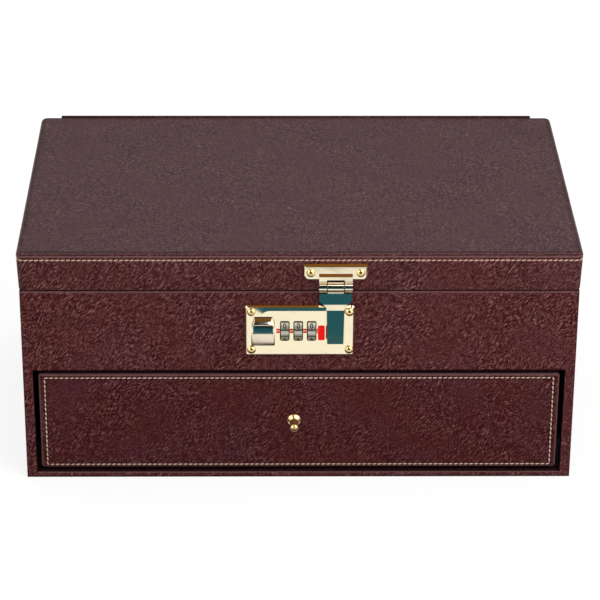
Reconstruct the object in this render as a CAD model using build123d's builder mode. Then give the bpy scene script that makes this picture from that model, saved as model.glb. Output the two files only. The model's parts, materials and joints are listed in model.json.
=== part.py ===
import os

from build123d import *

# Watch box with a hinged lid, a drawer below and a three-dial hasp lock on the front.
# Millimetres. Origin at the centre of the flat underside, front towards -Y, +Z up.

os.makedirs("parts", exist_ok=True)

# Case outside
body_width = 330.0
body_depth = 208.0
body_height = 125.8
body_corner = 1.5
lid_height = 24.6
lid_corner = 3.0
lid_edge_round = 1.4
seam_gap = 0.3
overhang_seam = 0.35
overhang_top = 1.35

# Sheet stock
board = 4.0
leather = 1.0
lining = 1.0
bay_felt = 0.4
base_felt_thick = 0.6
bottom_thick = 2.4
shelf_thick = 4.0
backing_thick = 7.0
lid_board_thick = 3.0
lid_padding = 1.5

# Drawer bay and drawer
opening_height = 69.2
bay_return = 12.0
drawer_gap_side = 3.0
drawer_gap_top = 2.1
drawer_gap_bottom = 3.5
drawer_front_thick = 7.0
drawer_front_round = 1.4
drawer_side = 4.0
drawer_bottom_thick = 2.5
drawer_side_drop = 2.5
drawer_tail_gap = 3.6
runner_width = 10.0
runner_upright = 18.0
running_gap = 0.3
glide_gap = 0.15

# Drawer knob
knob_x = -3.0
knob_rise = 0.8
knob_base_radius = 4.15
knob_neck_radius = 1.5
knob_ball_radius = 2.85
knob_reach = 12.2
knob_base_thick = 1.1
knob_base_bevel = 0.5
knob_flare_bow = 3.0
knob_flare_end = 5.4
knob_screw_radius = 1.5
knob_screw_head_radius = 3.2
knob_screw_head = 1.6
knob_thread_depth = 2.5

# Watch tray
columns = 6
divider_thick = 3.0
divider_drop = 13.8
lap_gap = 0.1
cushion_side_gap = 2.0
cushion_end_gap = 2.5
cushion_drop = 6.9
cushion_corner = 9.0
cushion_crown = 4.0
cushion_end_draw = 5.0
cushion_swell_draw = 1.2
cushion_swell = 0.82
soft_gap = 0.3

# Leather spine on the back
spine_width = 306.8
spine_thick = 1.2
spine_drop = 30.0
spine_lift = 1.45
spine_rise = 0.4

# Lock plate on the front
lock_x = 0.05
lock_drop = 24.95
lock_width = 64.7
lock_height = 32.6
lock_proud = 2.8
lock_sheet = 0.8
lock_corner = 1.6
lock_bevel = 0.9
rivet_head_radius = 2.65
rivet_head_height = 1.8
rivet_dome_side = 0.72
rivet_dome_rise = 0.66
rivet_shank_radius = 1.2
rivet_inset_left = 3.75
rivet_inset_right = 3.0
rivet_inset_z = 3.85
rivet_depth = 3.2
groove_length = 24.7
groove_width = 1.0
groove_depth = 0.2
groove_pitch = 1.6
groove_shift = 0.6

# Dials
dial_count = 3
dial_shift = 0.9
dial_pitch = 7.95
dial_radius = 8.0
dial_width = 4.5
dial_flutes = 10
dial_turn = 11.0
flute_radius = 0.6
flute_depth = 0.35
dial_sunk = 5.7
window_width = 5.7
window_height = 13.2
window_corner = 1.2
cam_radius = 4.9
cam_width = 6.4
cam_gate = 0.9
spindle_radius = 1.5
fit_gap = 0.05

# Thumb button, bolt and change tab
button_width = 14.0
button_height = 18.3
button_left = 3.65
button_foot = 6.95
button_draft = 0.5
button_corner = 1.3
button_proud = 4.2
button_toe = 0.8
button_toe_rise = 0.4
button_heel = 1.35
button_heel_rise = 7.8
button_waist = 0.95
button_waist_rise = 10.3
button_scoop = 1.7
button_scoop_rise = 13.7
button_ridge_rise = 15.3
button_ridge_width = 1.1
button_ridge_lean = 0.2
button_top_edge = 0.6
button_neck_drop = 1.4
button_travel = 3.0
button_neck_width = 3.0
button_neck_height = 3.0
slide_gap = 0.15
bolt_thick = 1.2
bolt_bar = 1.7
bolt_leg = 2.2
bolt_finger_radius = 0.6
bolt_tip_gap = 0.3
tab_shift = 12.8
tab_drop = 1.35
tab_width = 4.0
tab_height = 8.8
tab_thick = 1.25
tab_stem = 1.2
tab_stem_height = 2.0
tab_travel = 2.0
finger_over_tab = 2.5
slot_gap = 0.1

# Lock case behind the plate
case_wall = 0.7
case_room = 0.3
case_left = 6.9
case_right = 13.8

# Hasp on the lid
hasp_shift = 21.0
hasp_plate_width = 36.7
hasp_plate_low = 9.1
hasp_plate_height = 9.1
hasp_plate_proud = 2.45
hasp_plate_bevel = 1.45
hasp_plate_corner = 1.8
hinge_rise = 4.7
hinge_clear = 0.39
knuckle_radius = 3.45
knuckle_span = 19.7
knuckle_centre = 9.4
knuckle_gap = 0.5
knuckle_top_gap = 0.85
pin_radius = 1.0
hasp_rivet_inset = 3.7
hasp_rivet_drop = 0.6
hasp_side_bevel = 0.7
strap_rise = 7.8
strap_proud = 1.5
leaf_gap = 0.3
leaf_top_clear = 1.05
leaf_wide_drop = 5.2
leaf_neck_drop = 9.6
leaf_slope_drop = 7.2
leaf_step_drop = 10.95
leaf_length = 33.0
leaf_narrow = 11.2
leaf_corner = 1.2
leaf_draft_angle = 12.0
leaf_link_lap = 0.6
leaf_top_thick = 1.3
leaf_step_thick = 1.94
leaf_foot_thick = 3.9
staple_thick = 2.4
staple_height = 4.4
staple_eye = 0.9
staple_depth = 3.7
staple_room = 0.6
staple_swing = 1.3

# Planes of the case, worked out from the sizes above
half_width = body_width / 2
front = -body_depth / 2
back = body_depth / 2
board_x = half_width - leather
inner_x = board_x - board
room_x = inner_x - lining
board_front = front + leather
board_back = back - leather
front_inside = board_front + board
back_inside = board_back - board
backing_back = front_inside + backing_thick
tray_front = backing_back + lining
tray_back = back_inside - lining
board_floor = base_felt_thick + bottom_thick
bay_floor = board_floor + bay_felt
bay_top = bay_floor + opening_height
shelf_low = bay_top + leather
shelf_top = shelf_low + shelf_thick
tray_floor = shelf_top + lining
board_top = body_height - leather
return_back = board_front + bay_return

# Planes of the lid
lid_low = body_height + seam_gap
lid_top = lid_low + lid_height
lid_rail_low = lid_low + leather
lid_board_top = lid_top - lid_padding
lid_rail_top = lid_board_top - lid_board_thick
lid_slope = (overhang_top - overhang_seam) / lid_height


def lid_overhang(height):
    return overhang_seam + lid_slope * (height - lid_low)


def slab(x_low, x_high, y_low, y_high, z_low, z_high, mode=Mode.ADD):
    with Locations(((x_low + x_high) / 2, (y_low + y_high) / 2, (z_low + z_high) / 2)):
        Box(x_high - x_low, y_high - y_low, z_high - z_low, mode=mode)


def rivet(x, seat, z):
    with BuildSketch(Plane(origin=(x, seat, z), x_dir=(1, 0, 0), z_dir=(0, 0, 1))) as profile:
        with BuildLine():
            dome = ThreePointArc(
                (0, -rivet_head_height),
                (rivet_head_radius * rivet_dome_side, -rivet_head_height * rivet_dome_rise),
                (rivet_head_radius, 0),
            )
            Polyline(
                dome @ 1,
                (rivet_shank_radius, 0),
                (rivet_shank_radius, rivet_length),
                (0, rivet_length),
                dome @ 0,
            )
        make_face()
    revolve(profile.sketch, axis=Axis((x, seat, z), (0, 1, 0)))


def rivet_holes(places, seat, depth):
    with BuildSketch(Plane.XZ.offset(-seat)) as circles:
        with Locations(*places):
            Circle(rivet_shank_radius + fit_gap)
    extrude(circles.sketch, amount=-depth, mode=Mode.SUBTRACT)


def keep(piece, node):
    piece.part.label = node
    export_step(piece.part, f"parts/{node}.step")


# Places on the lock that several pieces share
lock_z = body_height - lock_drop
dial_x = lock_x - dial_shift
tab_x = lock_x + tab_shift
tab_z = lock_z - tab_drop
hasp_x = lock_x + hasp_shift
lock_face = front - lock_proud
lock_back = lock_face + lock_sheet
lock_left = lock_x - lock_width / 2
lock_right = lock_x + lock_width / 2
lock_low = lock_z - lock_height / 2
lock_high = lock_z + lock_height / 2
rivet_length = lock_proud + leather + rivet_depth
lock_rivet_places = [
    (x, z)
    for x in (lock_left + rivet_inset_left, lock_right - rivet_inset_right)
    for z in (lock_low + rivet_inset_z, lock_high - rivet_inset_z)
]

dial_z = lock_z
dial_y = lock_face + dial_sunk
dial_places = [dial_x + (i - (dial_count - 1) / 2) * dial_pitch for i in range(dial_count)]

bolt_front = lock_back + case_room + slot_gap
bolt_back = bolt_front + bolt_thick
bolt_y = (bolt_front + bolt_back) / 2
bar_low = dial_z + dial_radius + 3 * case_room
bar_high = bar_low + bolt_bar
case_low = dial_z - dial_radius - case_room - case_wall
case_high = bar_high + case_room + case_wall
case_x_low = lock_left + case_left
case_x_high = lock_right - case_right
case_back = dial_y + dial_radius + case_room + case_wall

button_x_low = lock_left + button_left
button_x_high = button_x_low + button_width
button_low = lock_low + button_foot
button_high = button_low + button_height
button_back = lock_face - slide_gap
neck_x_low = (button_x_low + button_x_high - button_neck_width) / 2
neck_x_high = neck_x_low + button_neck_width
neck_high = button_high - button_neck_drop
neck_low = neck_high - button_neck_height

hinge_z = lid_low + hinge_rise
hinge_y = front - lid_overhang(hinge_z) - hinge_clear - knuckle_radius
leaf_back = lock_face - leaf_gap
leaf_top = hinge_z - knuckle_radius - leaf_top_clear
leaf_low = leaf_top - leaf_length
staple_z = tab_z + tab_stem_height / 2 + tab_travel + finger_over_tab
staple_tip = leaf_back + staple_depth
leg_x_low = tab_x - bolt_leg / 2
leg_x_high = tab_x + bolt_leg / 2
finger_tip = hasp_x - staple_thick / 2 - bolt_tip_gap

hasp_low = lid_low + hasp_plate_low
hasp_high = hasp_low + hasp_plate_height
hasp_face = front - lid_overhang(hasp_high) - hasp_plate_proud
hasp_rivet_places = [
    (hasp_x + side * (hasp_plate_width / 2 - hasp_rivet_inset), (hasp_low + hasp_high) / 2 - hasp_rivet_drop)
    for side in (-1, 1)
]

# Underside felt and bottom board
with BuildPart() as base_felt:
    slab(-board_x, board_x, board_front, board_back, 0, base_felt_thick)
keep(base_felt, "base_felt")

with BuildPart() as bottom_board:
    slab(-board_x, board_x, board_front, board_back, base_felt_thick, board_floor)
keep(bottom_board, "bottom_board")

# Four walls, the shelf over the drawer and the board that backs the lock
with BuildPart() as left_side_board:
    slab(-board_x, -inner_x, board_front, board_back, board_floor, board_top)
keep(left_side_board, "left_side_board")

with BuildPart() as right_side_board:
    slab(inner_x, board_x, board_front, board_back, board_floor, board_top)
keep(right_side_board, "right_side_board")

with BuildPart() as back_board:
    slab(-inner_x, inner_x, back_inside, board_back, board_floor, board_top)
keep(back_board, "back_board")

with BuildPart() as shelf_board:
    slab(-inner_x, inner_x, front_inside, back_inside, shelf_low, shelf_top)
keep(shelf_board, "shelf_board")


def lock_recess(y_low, y_high):
    slab(
        case_x_low - slot_gap,
        case_x_high + slot_gap,
        y_low,
        y_high,
        case_low - slot_gap,
        case_high + slot_gap,
        mode=Mode.SUBTRACT,
    )


with BuildPart() as front_board:
    slab(-inner_x, inner_x, board_front, front_inside, shelf_low, board_top)
    lock_recess(board_front, front_inside)
    rivet_holes(lock_rivet_places, board_front, rivet_depth)
keep(front_board, "front_board")

with BuildPart() as lock_backing_board:
    slab(-inner_x, inner_x, front_inside, backing_back, shelf_top, board_top)
    lock_recess(front_inside, case_back + slot_gap)
keep(lock_backing_board, "lock_backing_board")

# Leather over the outside: four faces, the rim, and the turned-in edge of the drawer opening
with BuildPart() as body_leather:
    with BuildSketch():
        RectangleRounded(body_width, body_depth, body_corner)
    extrude(amount=body_height)
    slab(-board_x, board_x, board_front, board_back, 0, board_top, mode=Mode.SUBTRACT)
    slab(-room_x, room_x, tray_front, tray_back, board_top, body_height, mode=Mode.SUBTRACT)
    slab(-inner_x, inner_x, board_front, return_back, board_floor, shelf_low)
    slab(-room_x, room_x, front, return_back, bay_floor, bay_top, mode=Mode.SUBTRACT)
    lock_recess(front, board_front)
    slab(
        hasp_x - staple_thick / 2 - staple_room - slot_gap,
        hasp_x + staple_thick / 2 + staple_room + slot_gap,
        front,
        board_front,
        staple_z - staple_height / 2 - staple_swing,
        lock_high - lock_sheet,
        mode=Mode.SUBTRACT,
    )
    rivet_holes(lock_rivet_places, front, leather)
keep(body_leather, "body_leather")

# Felt lining of the drawer bay, open at the front, and the runners that carry the drawer
with BuildPart() as bay_lining:
    slab(-inner_x, inner_x, return_back, back_inside, board_floor, shelf_low)
    slab(
        -room_x,
        room_x,
        return_back,
        back_inside - bay_felt,
        bay_floor,
        shelf_low - bay_felt,
        mode=Mode.SUBTRACT,
    )
keep(bay_lining, "bay_lining")

drawer_x = room_x - drawer_gap_side
drawer_low = bay_floor + drawer_gap_bottom
drawer_high = bay_top - drawer_gap_top
drawer_front_back = board_front + drawer_front_thick
drawer_board_x = drawer_x - leather
drawer_board_low = drawer_low + leather
drawer_board_high = drawer_high - leather
drawer_inner_x = drawer_board_x - drawer_side
drawer_side_high = drawer_board_high - drawer_side_drop
drawer_tail = back_inside - bay_felt - drawer_tail_gap
drawer_floor = drawer_board_low + drawer_bottom_thick
knob_z = (drawer_low + drawer_high) / 2 + knob_rise

with BuildPart() as drawer_runners:
    for side in (-1, 1):
        with BuildSketch(Plane.XZ.offset(-drawer_front_back - running_gap)):
            with BuildLine():
                Polyline(
                    (side * room_x, bay_floor),
                    (side * (drawer_board_x - runner_width), bay_floor),
                    (side * (drawer_board_x - runner_width), drawer_board_low - glide_gap),
                    (side * (drawer_board_x + running_gap), drawer_board_low - glide_gap),
                    (side * (drawer_board_x + running_gap), bay_floor + runner_upright),
                    (side * room_x, bay_floor + runner_upright),
                    close=True,
                )
            make_face()
    extrude(amount=-(back_inside - bay_felt - drawer_front_back - running_gap))
keep(drawer_runners, "drawer_runners")

# Suede lining of the watch tray and its half-lapped dividers
with BuildPart() as tray_lining:
    slab(-inner_x, inner_x, backing_back, back_inside, shelf_top, board_top)
    slab(-room_x, room_x, tray_front, tray_back, tray_floor, board_top, mode=Mode.SUBTRACT)
keep(tray_lining, "tray_lining")

cell_width = (2 * room_x - (columns - 1) * divider_thick) / columns
cell_depth = (tray_back - tray_front - divider_thick) / 2
column_pitch = cell_width + divider_thick
cross_places = [-room_x + column_pitch * (i + 1) - divider_thick / 2 for i in range(columns - 1)]
row_middle = (tray_front + tray_back) / 2
divider_top = body_height - divider_drop
lap_height = (tray_floor + divider_top) / 2
lap_half = divider_thick / 2 + lap_gap

with BuildPart() as long_divider:
    slab(
        -room_x,
        room_x,
        row_middle - divider_thick / 2,
        row_middle + divider_thick / 2,
        tray_floor,
        divider_top,
    )
    for x in cross_places:
        slab(
            x - lap_half,
            x + lap_half,
            row_middle - divider_thick,
            row_middle + divider_thick,
            lap_height,
            divider_top,
            mode=Mode.SUBTRACT,
        )
keep(long_divider, "long_divider")

with BuildPart() as cross_dividers:
    for x in cross_places:
        slab(
            x - divider_thick / 2,
            x + divider_thick / 2,
            tray_front,
            tray_back,
            tray_floor,
            divider_top,
        )
    slab(
        -room_x,
        room_x,
        row_middle - lap_half,
        row_middle + lap_half,
        tray_floor,
        lap_height,
        mode=Mode.SUBTRACT,
    )
keep(cross_dividers, "cross_dividers")

# Watch cushions: crowned across the top, swelling from narrower sewn ends to a full middle
cushion_width = cell_width - 2 * cushion_side_gap
cushion_length = cell_depth - 2 * cushion_end_gap
cushion_base = tray_floor + soft_gap
cushion_top = body_height - cushion_drop
cushion_stations = [
    (-1, cushion_end_draw),
    (-cushion_swell, cushion_swell_draw),
    (0, 0),
    (cushion_swell, cushion_swell_draw),
    (1, cushion_end_draw),
]


def watch_cushion(centre_x, centre_y):
    with BuildPart() as cushion:
        for place, draw_in in cushion_stations:
            half_length = cushion_length / 2 - draw_in / 2
            low = cushion_base + draw_in / 2
            high = cushion_top - cushion_crown - draw_in / 2
            with BuildSketch(Plane.YZ.offset(centre_x + place * cushion_width / 2)):
                with BuildLine():
                    Polyline(
                        (centre_y - half_length, high),
                        (centre_y - half_length, low),
                        (centre_y + half_length, low),
                        (centre_y + half_length, high),
                    )
                    ThreePointArc(
                        (centre_y + half_length, high),
                        (centre_y, high + cushion_crown),
                        (centre_y - half_length, high),
                    )
                make_face()
                fillet(vertices(), radius=cushion_corner)
        loft()
    return cushion


cushion_number = 0
for row in (-1, 1):
    for column in range(columns):
        cushion_number += 1
        keep(
            watch_cushion(
                -room_x + cell_width / 2 + column * column_pitch,
                row_middle + row * (cell_depth + divider_thick) / 2,
            ),
            f"watch_cushion_{cushion_number}",
        )

# Lower half of the leather spine that hinges the lid
with BuildPart() as body_spine_flap:
    slab(-spine_width / 2, spine_width / 2, back, back + spine_thick, body_height - spine_drop, body_height)
keep(body_spine_flap, "body_spine_flap")

# Lock plate: a pressed cover with bevelled edges, open slots and a hollow back
with BuildPart() as lock_plate:
    with BuildSketch(Plane.XZ.offset(-front)):
        with Locations((lock_x, lock_z)):
            RectangleRounded(lock_width, lock_height, lock_corner)
    extrude(amount=lock_proud)
    chamfer(faces().sort_by(Axis.Y)[0].edges(), length=lock_bevel)
    slab(
        case_x_low - slot_gap,
        hasp_x + staple_thick + staple_room,
        lock_back,
        front,
        case_low - slot_gap,
        case_high + slot_gap,
        mode=Mode.SUBTRACT,
    )
    with BuildSketch(Plane.XZ.offset(-lock_face)):
        with Locations(*[(x, dial_z) for x in dial_places]):
            RectangleRounded(window_width, window_height, window_corner)
    extrude(amount=-lock_proud, mode=Mode.SUBTRACT)
    slab(
        neck_x_low - slot_gap,
        neck_x_high + button_travel + slot_gap,
        lock_face,
        front,
        neck_low - slot_gap,
        neck_high + slot_gap,
        mode=Mode.SUBTRACT,
    )
    slab(
        tab_x - tab_stem / 2 - slot_gap,
        tab_x + tab_stem / 2 + slot_gap,
        lock_face,
        front,
        tab_z - tab_stem_height / 2 - slot_gap,
        tab_z + tab_stem_height / 2 + tab_travel + slot_gap,
        mode=Mode.SUBTRACT,
    )
    slab(
        hasp_x - staple_thick / 2 - staple_room,
        hasp_x + staple_thick / 2 + staple_room,
        lock_face,
        front,
        staple_z - staple_height / 2 - staple_swing,
        lock_high,
        mode=Mode.SUBTRACT,
    )
    for z in (dial_z - groove_pitch / 2, dial_z + groove_pitch / 2):
        slab(
            dial_x - groove_length / 2 - groove_shift,
            dial_x + groove_length / 2 - groove_shift,
            lock_face,
            lock_face + groove_depth,
            z - groove_width / 2,
            z + groove_width / 2,
            mode=Mode.SUBTRACT,
        )
    rivet_holes(lock_rivet_places, lock_face, lock_proud)
keep(lock_plate, "lock_plate")

with BuildPart() as lock_rivets:
    for x, z in lock_rivet_places:
        rivet(x, lock_face, z)
keep(lock_rivets, "lock_rivets")

# Lock case: an open-fronted box that carries the dial spindle
with BuildPart() as lock_case:
    slab(case_x_low, case_x_high, lock_back, case_back, case_low, case_high)
    slab(
        case_x_low + case_wall,
        case_x_high - case_wall,
        lock_back,
        case_back - case_wall,
        case_low + case_wall,
        case_high - case_wall,
        mode=Mode.SUBTRACT,
    )
    slab(
        case_x_high - case_wall,
        case_x_high,
        lock_back,
        bolt_y + bolt_finger_radius + case_room,
        staple_z - bolt_finger_radius - case_room,
        staple_z + bolt_finger_radius + case_room,
        mode=Mode.SUBTRACT,
    )
    with BuildSketch(Plane.YZ.offset(case_x_low)):
        with Locations((dial_y, dial_z)):
            Circle(spindle_radius + fit_gap)
    extrude(amount=case_x_high - case_x_low, mode=Mode.SUBTRACT)
keep(lock_case, "lock_case")

with BuildPart() as dial_spindle:
    with BuildSketch(Plane.YZ.offset(case_x_low)):
        with Locations((dial_y, dial_z)):
            Circle(spindle_radius)
    extrude(amount=case_x_high - case_x_low)
keep(dial_spindle, "dial_spindle")


# Each dial is a fluted number wheel on a sleeve cam with a flat gate
def dial_wheel(x):
    with BuildPart() as wheel:
        with BuildSketch(Plane.YZ.offset(x - dial_width / 2)):
            with Locations((dial_y, dial_z)):
                Circle(dial_radius)
                Circle(cam_radius + fit_gap, mode=Mode.SUBTRACT)
                with PolarLocations(dial_radius + flute_radius - flute_depth, dial_flutes, start_angle=-dial_turn):
                    Circle(flute_radius, mode=Mode.SUBTRACT)
        extrude(amount=dial_width)
    return wheel


def code_cam(x):
    with BuildPart() as cam:
        with BuildSketch(Plane.YZ.offset(x - cam_width / 2)):
            with Locations((dial_y, dial_z)):
                Circle(cam_radius)
                Circle(spindle_radius + fit_gap, mode=Mode.SUBTRACT)
        extrude(amount=cam_width)
        slab(
            x + dial_width / 2,
            x + cam_width / 2,
            dial_y - cam_radius,
            dial_y + cam_radius,
            dial_z + cam_radius - cam_gate,
            dial_z + cam_radius,
            mode=Mode.SUBTRACT,
        )
    return cam


for number, x in enumerate(dial_places, start=1):
    keep(dial_wheel(x), f"dial_wheel_{number}")
    keep(code_cam(x), f"code_cam_{number}")

# Thumb button: wide foot, waist, hollow scoop, raised ridge near the top, and a neck through the plate
with BuildPart() as thumb_button:
    with BuildSketch(Plane.YZ.offset(button_x_low)):
        with BuildLine():
            ridge_y = button_back - button_proud
            ridge_z = button_low + button_ridge_rise
            Polyline(
                (button_back, button_high),
                (button_back, button_low),
                (button_back - button_toe, button_low + button_toe_rise),
                (button_back - button_heel, button_low + button_heel_rise),
                (button_back - button_waist, button_low + button_waist_rise),
            )
            ThreePointArc(
                (button_back - button_waist, button_low + button_waist_rise),
                (button_back - button_scoop, button_low + button_scoop_rise),
                (ridge_y, ridge_z),
            )
            Polyline(
                (ridge_y, ridge_z),
                (ridge_y + button_ridge_lean, ridge_z + button_ridge_width),
                (button_back - button_top_edge, button_high),
                (button_back, button_high),
            )
        make_face()
    extrude(amount=button_width)
    with BuildSketch(Plane.XY.offset(button_low)):
        with BuildLine():
            Polyline(
                (button_x_low, button_back),
                (button_x_high, button_back),
                (button_x_high - button_draft, ridge_y),
                (button_x_low + button_draft, ridge_y),
                close=True,
            )
        make_face()
    extrude(amount=button_height, mode=Mode.INTERSECT)
    with BuildSketch(Plane.XZ.offset(-button_back)) as button_outline:
        with Locations(((button_x_low + button_x_high) / 2, (button_low + button_high) / 2)):
            Rectangle(button_width, button_height)
        fillet(button_outline.vertices().group_by(Axis.Z)[0], radius=button_corner)
    extrude(amount=button_proud, mode=Mode.INTERSECT)
    slab(neck_x_low, neck_x_high, button_back, bolt_front, neck_low, neck_high)
keep(thumb_button, "thumb_button")

# Bolt: a flat bar over the dials with a pad behind the button, a leg and a round finger
with BuildPart() as lock_bolt:
    slab(neck_x_low - case_wall, leg_x_high, bolt_front, bolt_back, bar_low, bar_high)
    slab(
        neck_x_low - case_wall,
        neck_x_high + case_wall,
        bolt_front,
        bolt_back,
        neck_low,
        bar_high,
    )
    slab(leg_x_low, leg_x_high, bolt_front, bolt_back, staple_z - bolt_finger_radius, bar_high)
    with BuildSketch(Plane.YZ.offset(leg_x_high - bolt_thick)):
        with Locations((bolt_y, staple_z)):
            Circle(bolt_finger_radius)
    extrude(amount=finger_tip - leg_x_high + bolt_thick)
keep(lock_bolt, "lock_bolt")

# Change tab beside the last dial
with BuildPart() as change_tab:
    with BuildSketch(Plane.XZ.offset(-button_back)):
        with Locations((tab_x, tab_z)):
            RectangleRounded(tab_width, tab_height, tab_width / 4)
    extrude(amount=tab_thick)
    fillet(faces().sort_by(Axis.Y)[0].edges(), radius=tab_thick / 3)
    slab(
        tab_x - tab_stem / 2,
        tab_x + tab_stem / 2,
        button_back,
        lock_back + case_room,
        tab_z - tab_stem_height / 2,
        tab_z + tab_stem_height / 2,
    )
keep(change_tab, "change_tab")

# Lid boards
with BuildPart() as lid_board:
    slab(-board_x, board_x, board_front, board_back, lid_rail_top, lid_board_top)
keep(lid_board, "lid_board")

with BuildPart() as lid_long_rails:
    slab(-board_x, board_x, board_front, front_inside, lid_rail_low, lid_rail_top)
    slab(-board_x, board_x, back_inside, board_back, lid_rail_low, lid_rail_top)
    rivet_holes(hasp_rivet_places, board_front, rivet_depth)
keep(lid_long_rails, "lid_long_rails")

with BuildPart() as lid_end_rails:
    slab(-board_x, -inner_x, front_inside, back_inside, lid_rail_low, lid_rail_top)
    slab(inner_x, board_x, front_inside, back_inside, lid_rail_low, lid_rail_top)
keep(lid_end_rails, "lid_end_rails")

# Lid leather: flares a little towards a rounded top edge and turns in under the rim
with BuildPart() as lid_leather:
    for height, overhang in ((lid_low, overhang_seam), (lid_top, overhang_top)):
        with BuildSketch(Plane.XY.offset(height)):
            RectangleRounded(body_width + 2 * overhang, body_depth + 2 * overhang, lid_corner)
    loft(ruled=True)
    fillet(faces().sort_by(Axis.Z)[-1].edges(), radius=lid_edge_round)
    slab(-board_x, board_x, board_front, board_back, lid_rail_low, lid_board_top, mode=Mode.SUBTRACT)
    slab(-room_x, room_x, front_inside + lining, tray_back, lid_low, lid_rail_low, mode=Mode.SUBTRACT)
    rivet_holes(hasp_rivet_places, front - overhang_top, leather + overhang_top)
keep(lid_leather, "lid_leather")

with BuildPart() as lid_lining:
    slab(-inner_x, inner_x, front_inside, back_inside, lid_rail_low, lid_rail_top)
    slab(
        -room_x,
        room_x,
        front_inside + lining,
        tray_back,
        lid_rail_low,
        lid_rail_top - lining,
        mode=Mode.SUBTRACT,
    )
keep(lid_lining, "lid_lining")

# Upper half of the leather spine, lying on the sloping back of the lid
flap_low = lid_low + spine_lift
flap_high = lid_top + spine_rise
with BuildPart() as lid_spine_flap:
    with BuildSketch(Plane.YZ.offset(-spine_width / 2)):
        with BuildLine():
            Polyline(
                (back + lid_overhang(flap_low), flap_low),
                (back + lid_overhang(flap_low) + spine_thick, flap_low),
                (back + lid_overhang(flap_high) + spine_thick, flap_high),
                (back + lid_overhang(flap_high), flap_high),
                close=True,
            )
        make_face()
    extrude(amount=spine_width)
keep(lid_spine_flap, "lid_spine_flap")

# Hasp plate on the lid with a raised strap that ends in the two outer knuckles
knuckle_half = knuckle_centre / 2
with BuildPart() as hasp_plate:
    with BuildSketch(Plane.YZ.offset(hasp_x - hasp_plate_width / 2)):
        with BuildLine():
            Polyline(
                (front - lid_overhang(hasp_low), hasp_low),
                (hasp_face, hasp_low),
                (hasp_face, hasp_high - hasp_plate_bevel),
                (hasp_face + hasp_plate_bevel, hasp_high),
                (front - lid_overhang(hasp_high), hasp_high),
                close=True,
            )
        make_face()
    extrude(amount=hasp_plate_width)
    chamfer(edges().filter_by(Axis.Z).group_by(Axis.Y)[0], length=hasp_side_bevel)
    chamfer(
        edges().filter_by(Axis.Y).group_by(Axis.Z)[0],
        length=hasp_plate_corner,
    )
    with BuildSketch(Plane.YZ.offset(hasp_x - knuckle_span / 2)):
        with BuildLine():
            Polyline(
                (front - lid_overhang(hasp_low), hasp_low),
                (hinge_y + knuckle_radius * 0.8, hinge_z),
                (hinge_y, hinge_z),
                (hasp_face - strap_proud, hinge_z),
                (hasp_face - strap_proud, hinge_z + strap_rise - strap_proud),
                (hasp_face, hinge_z + strap_rise),
                (front - lid_overhang(hinge_z + strap_rise), hinge_z + strap_rise),
                close=True,
            )
        make_face()
        with Locations((hinge_y, hinge_z)):
            Circle(knuckle_radius)
    extrude(amount=knuckle_span)
    slab(
        hasp_x - knuckle_half - knuckle_gap,
        hasp_x + knuckle_half + knuckle_gap,
        hinge_y - 2 * knuckle_radius,
        front,
        hinge_z - 2 * knuckle_radius,
        hinge_z + knuckle_radius + knuckle_top_gap,
        mode=Mode.SUBTRACT,
    )
    with BuildSketch(Plane.YZ.offset(hasp_x - knuckle_span / 2)):
        with Locations((hinge_y, hinge_z)):
            Circle(pin_radius + fit_gap)
    extrude(amount=knuckle_span, mode=Mode.SUBTRACT)
    rivet_holes(hasp_rivet_places, hasp_face, -hasp_face)
keep(hasp_plate, "hasp_plate")

with BuildPart() as hasp_rivets:
    for x, z in hasp_rivet_places:
        rivet(x, hasp_face, z)
keep(hasp_rivets, "hasp_rivets")

with BuildPart() as hasp_pin:
    with BuildSketch(Plane.YZ.offset(hasp_x - knuckle_span / 2)):
        with Locations((hinge_y, hinge_z)):
            Circle(pin_radius)
    extrude(amount=knuckle_span)
keep(hasp_pin, "hasp_pin")

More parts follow.
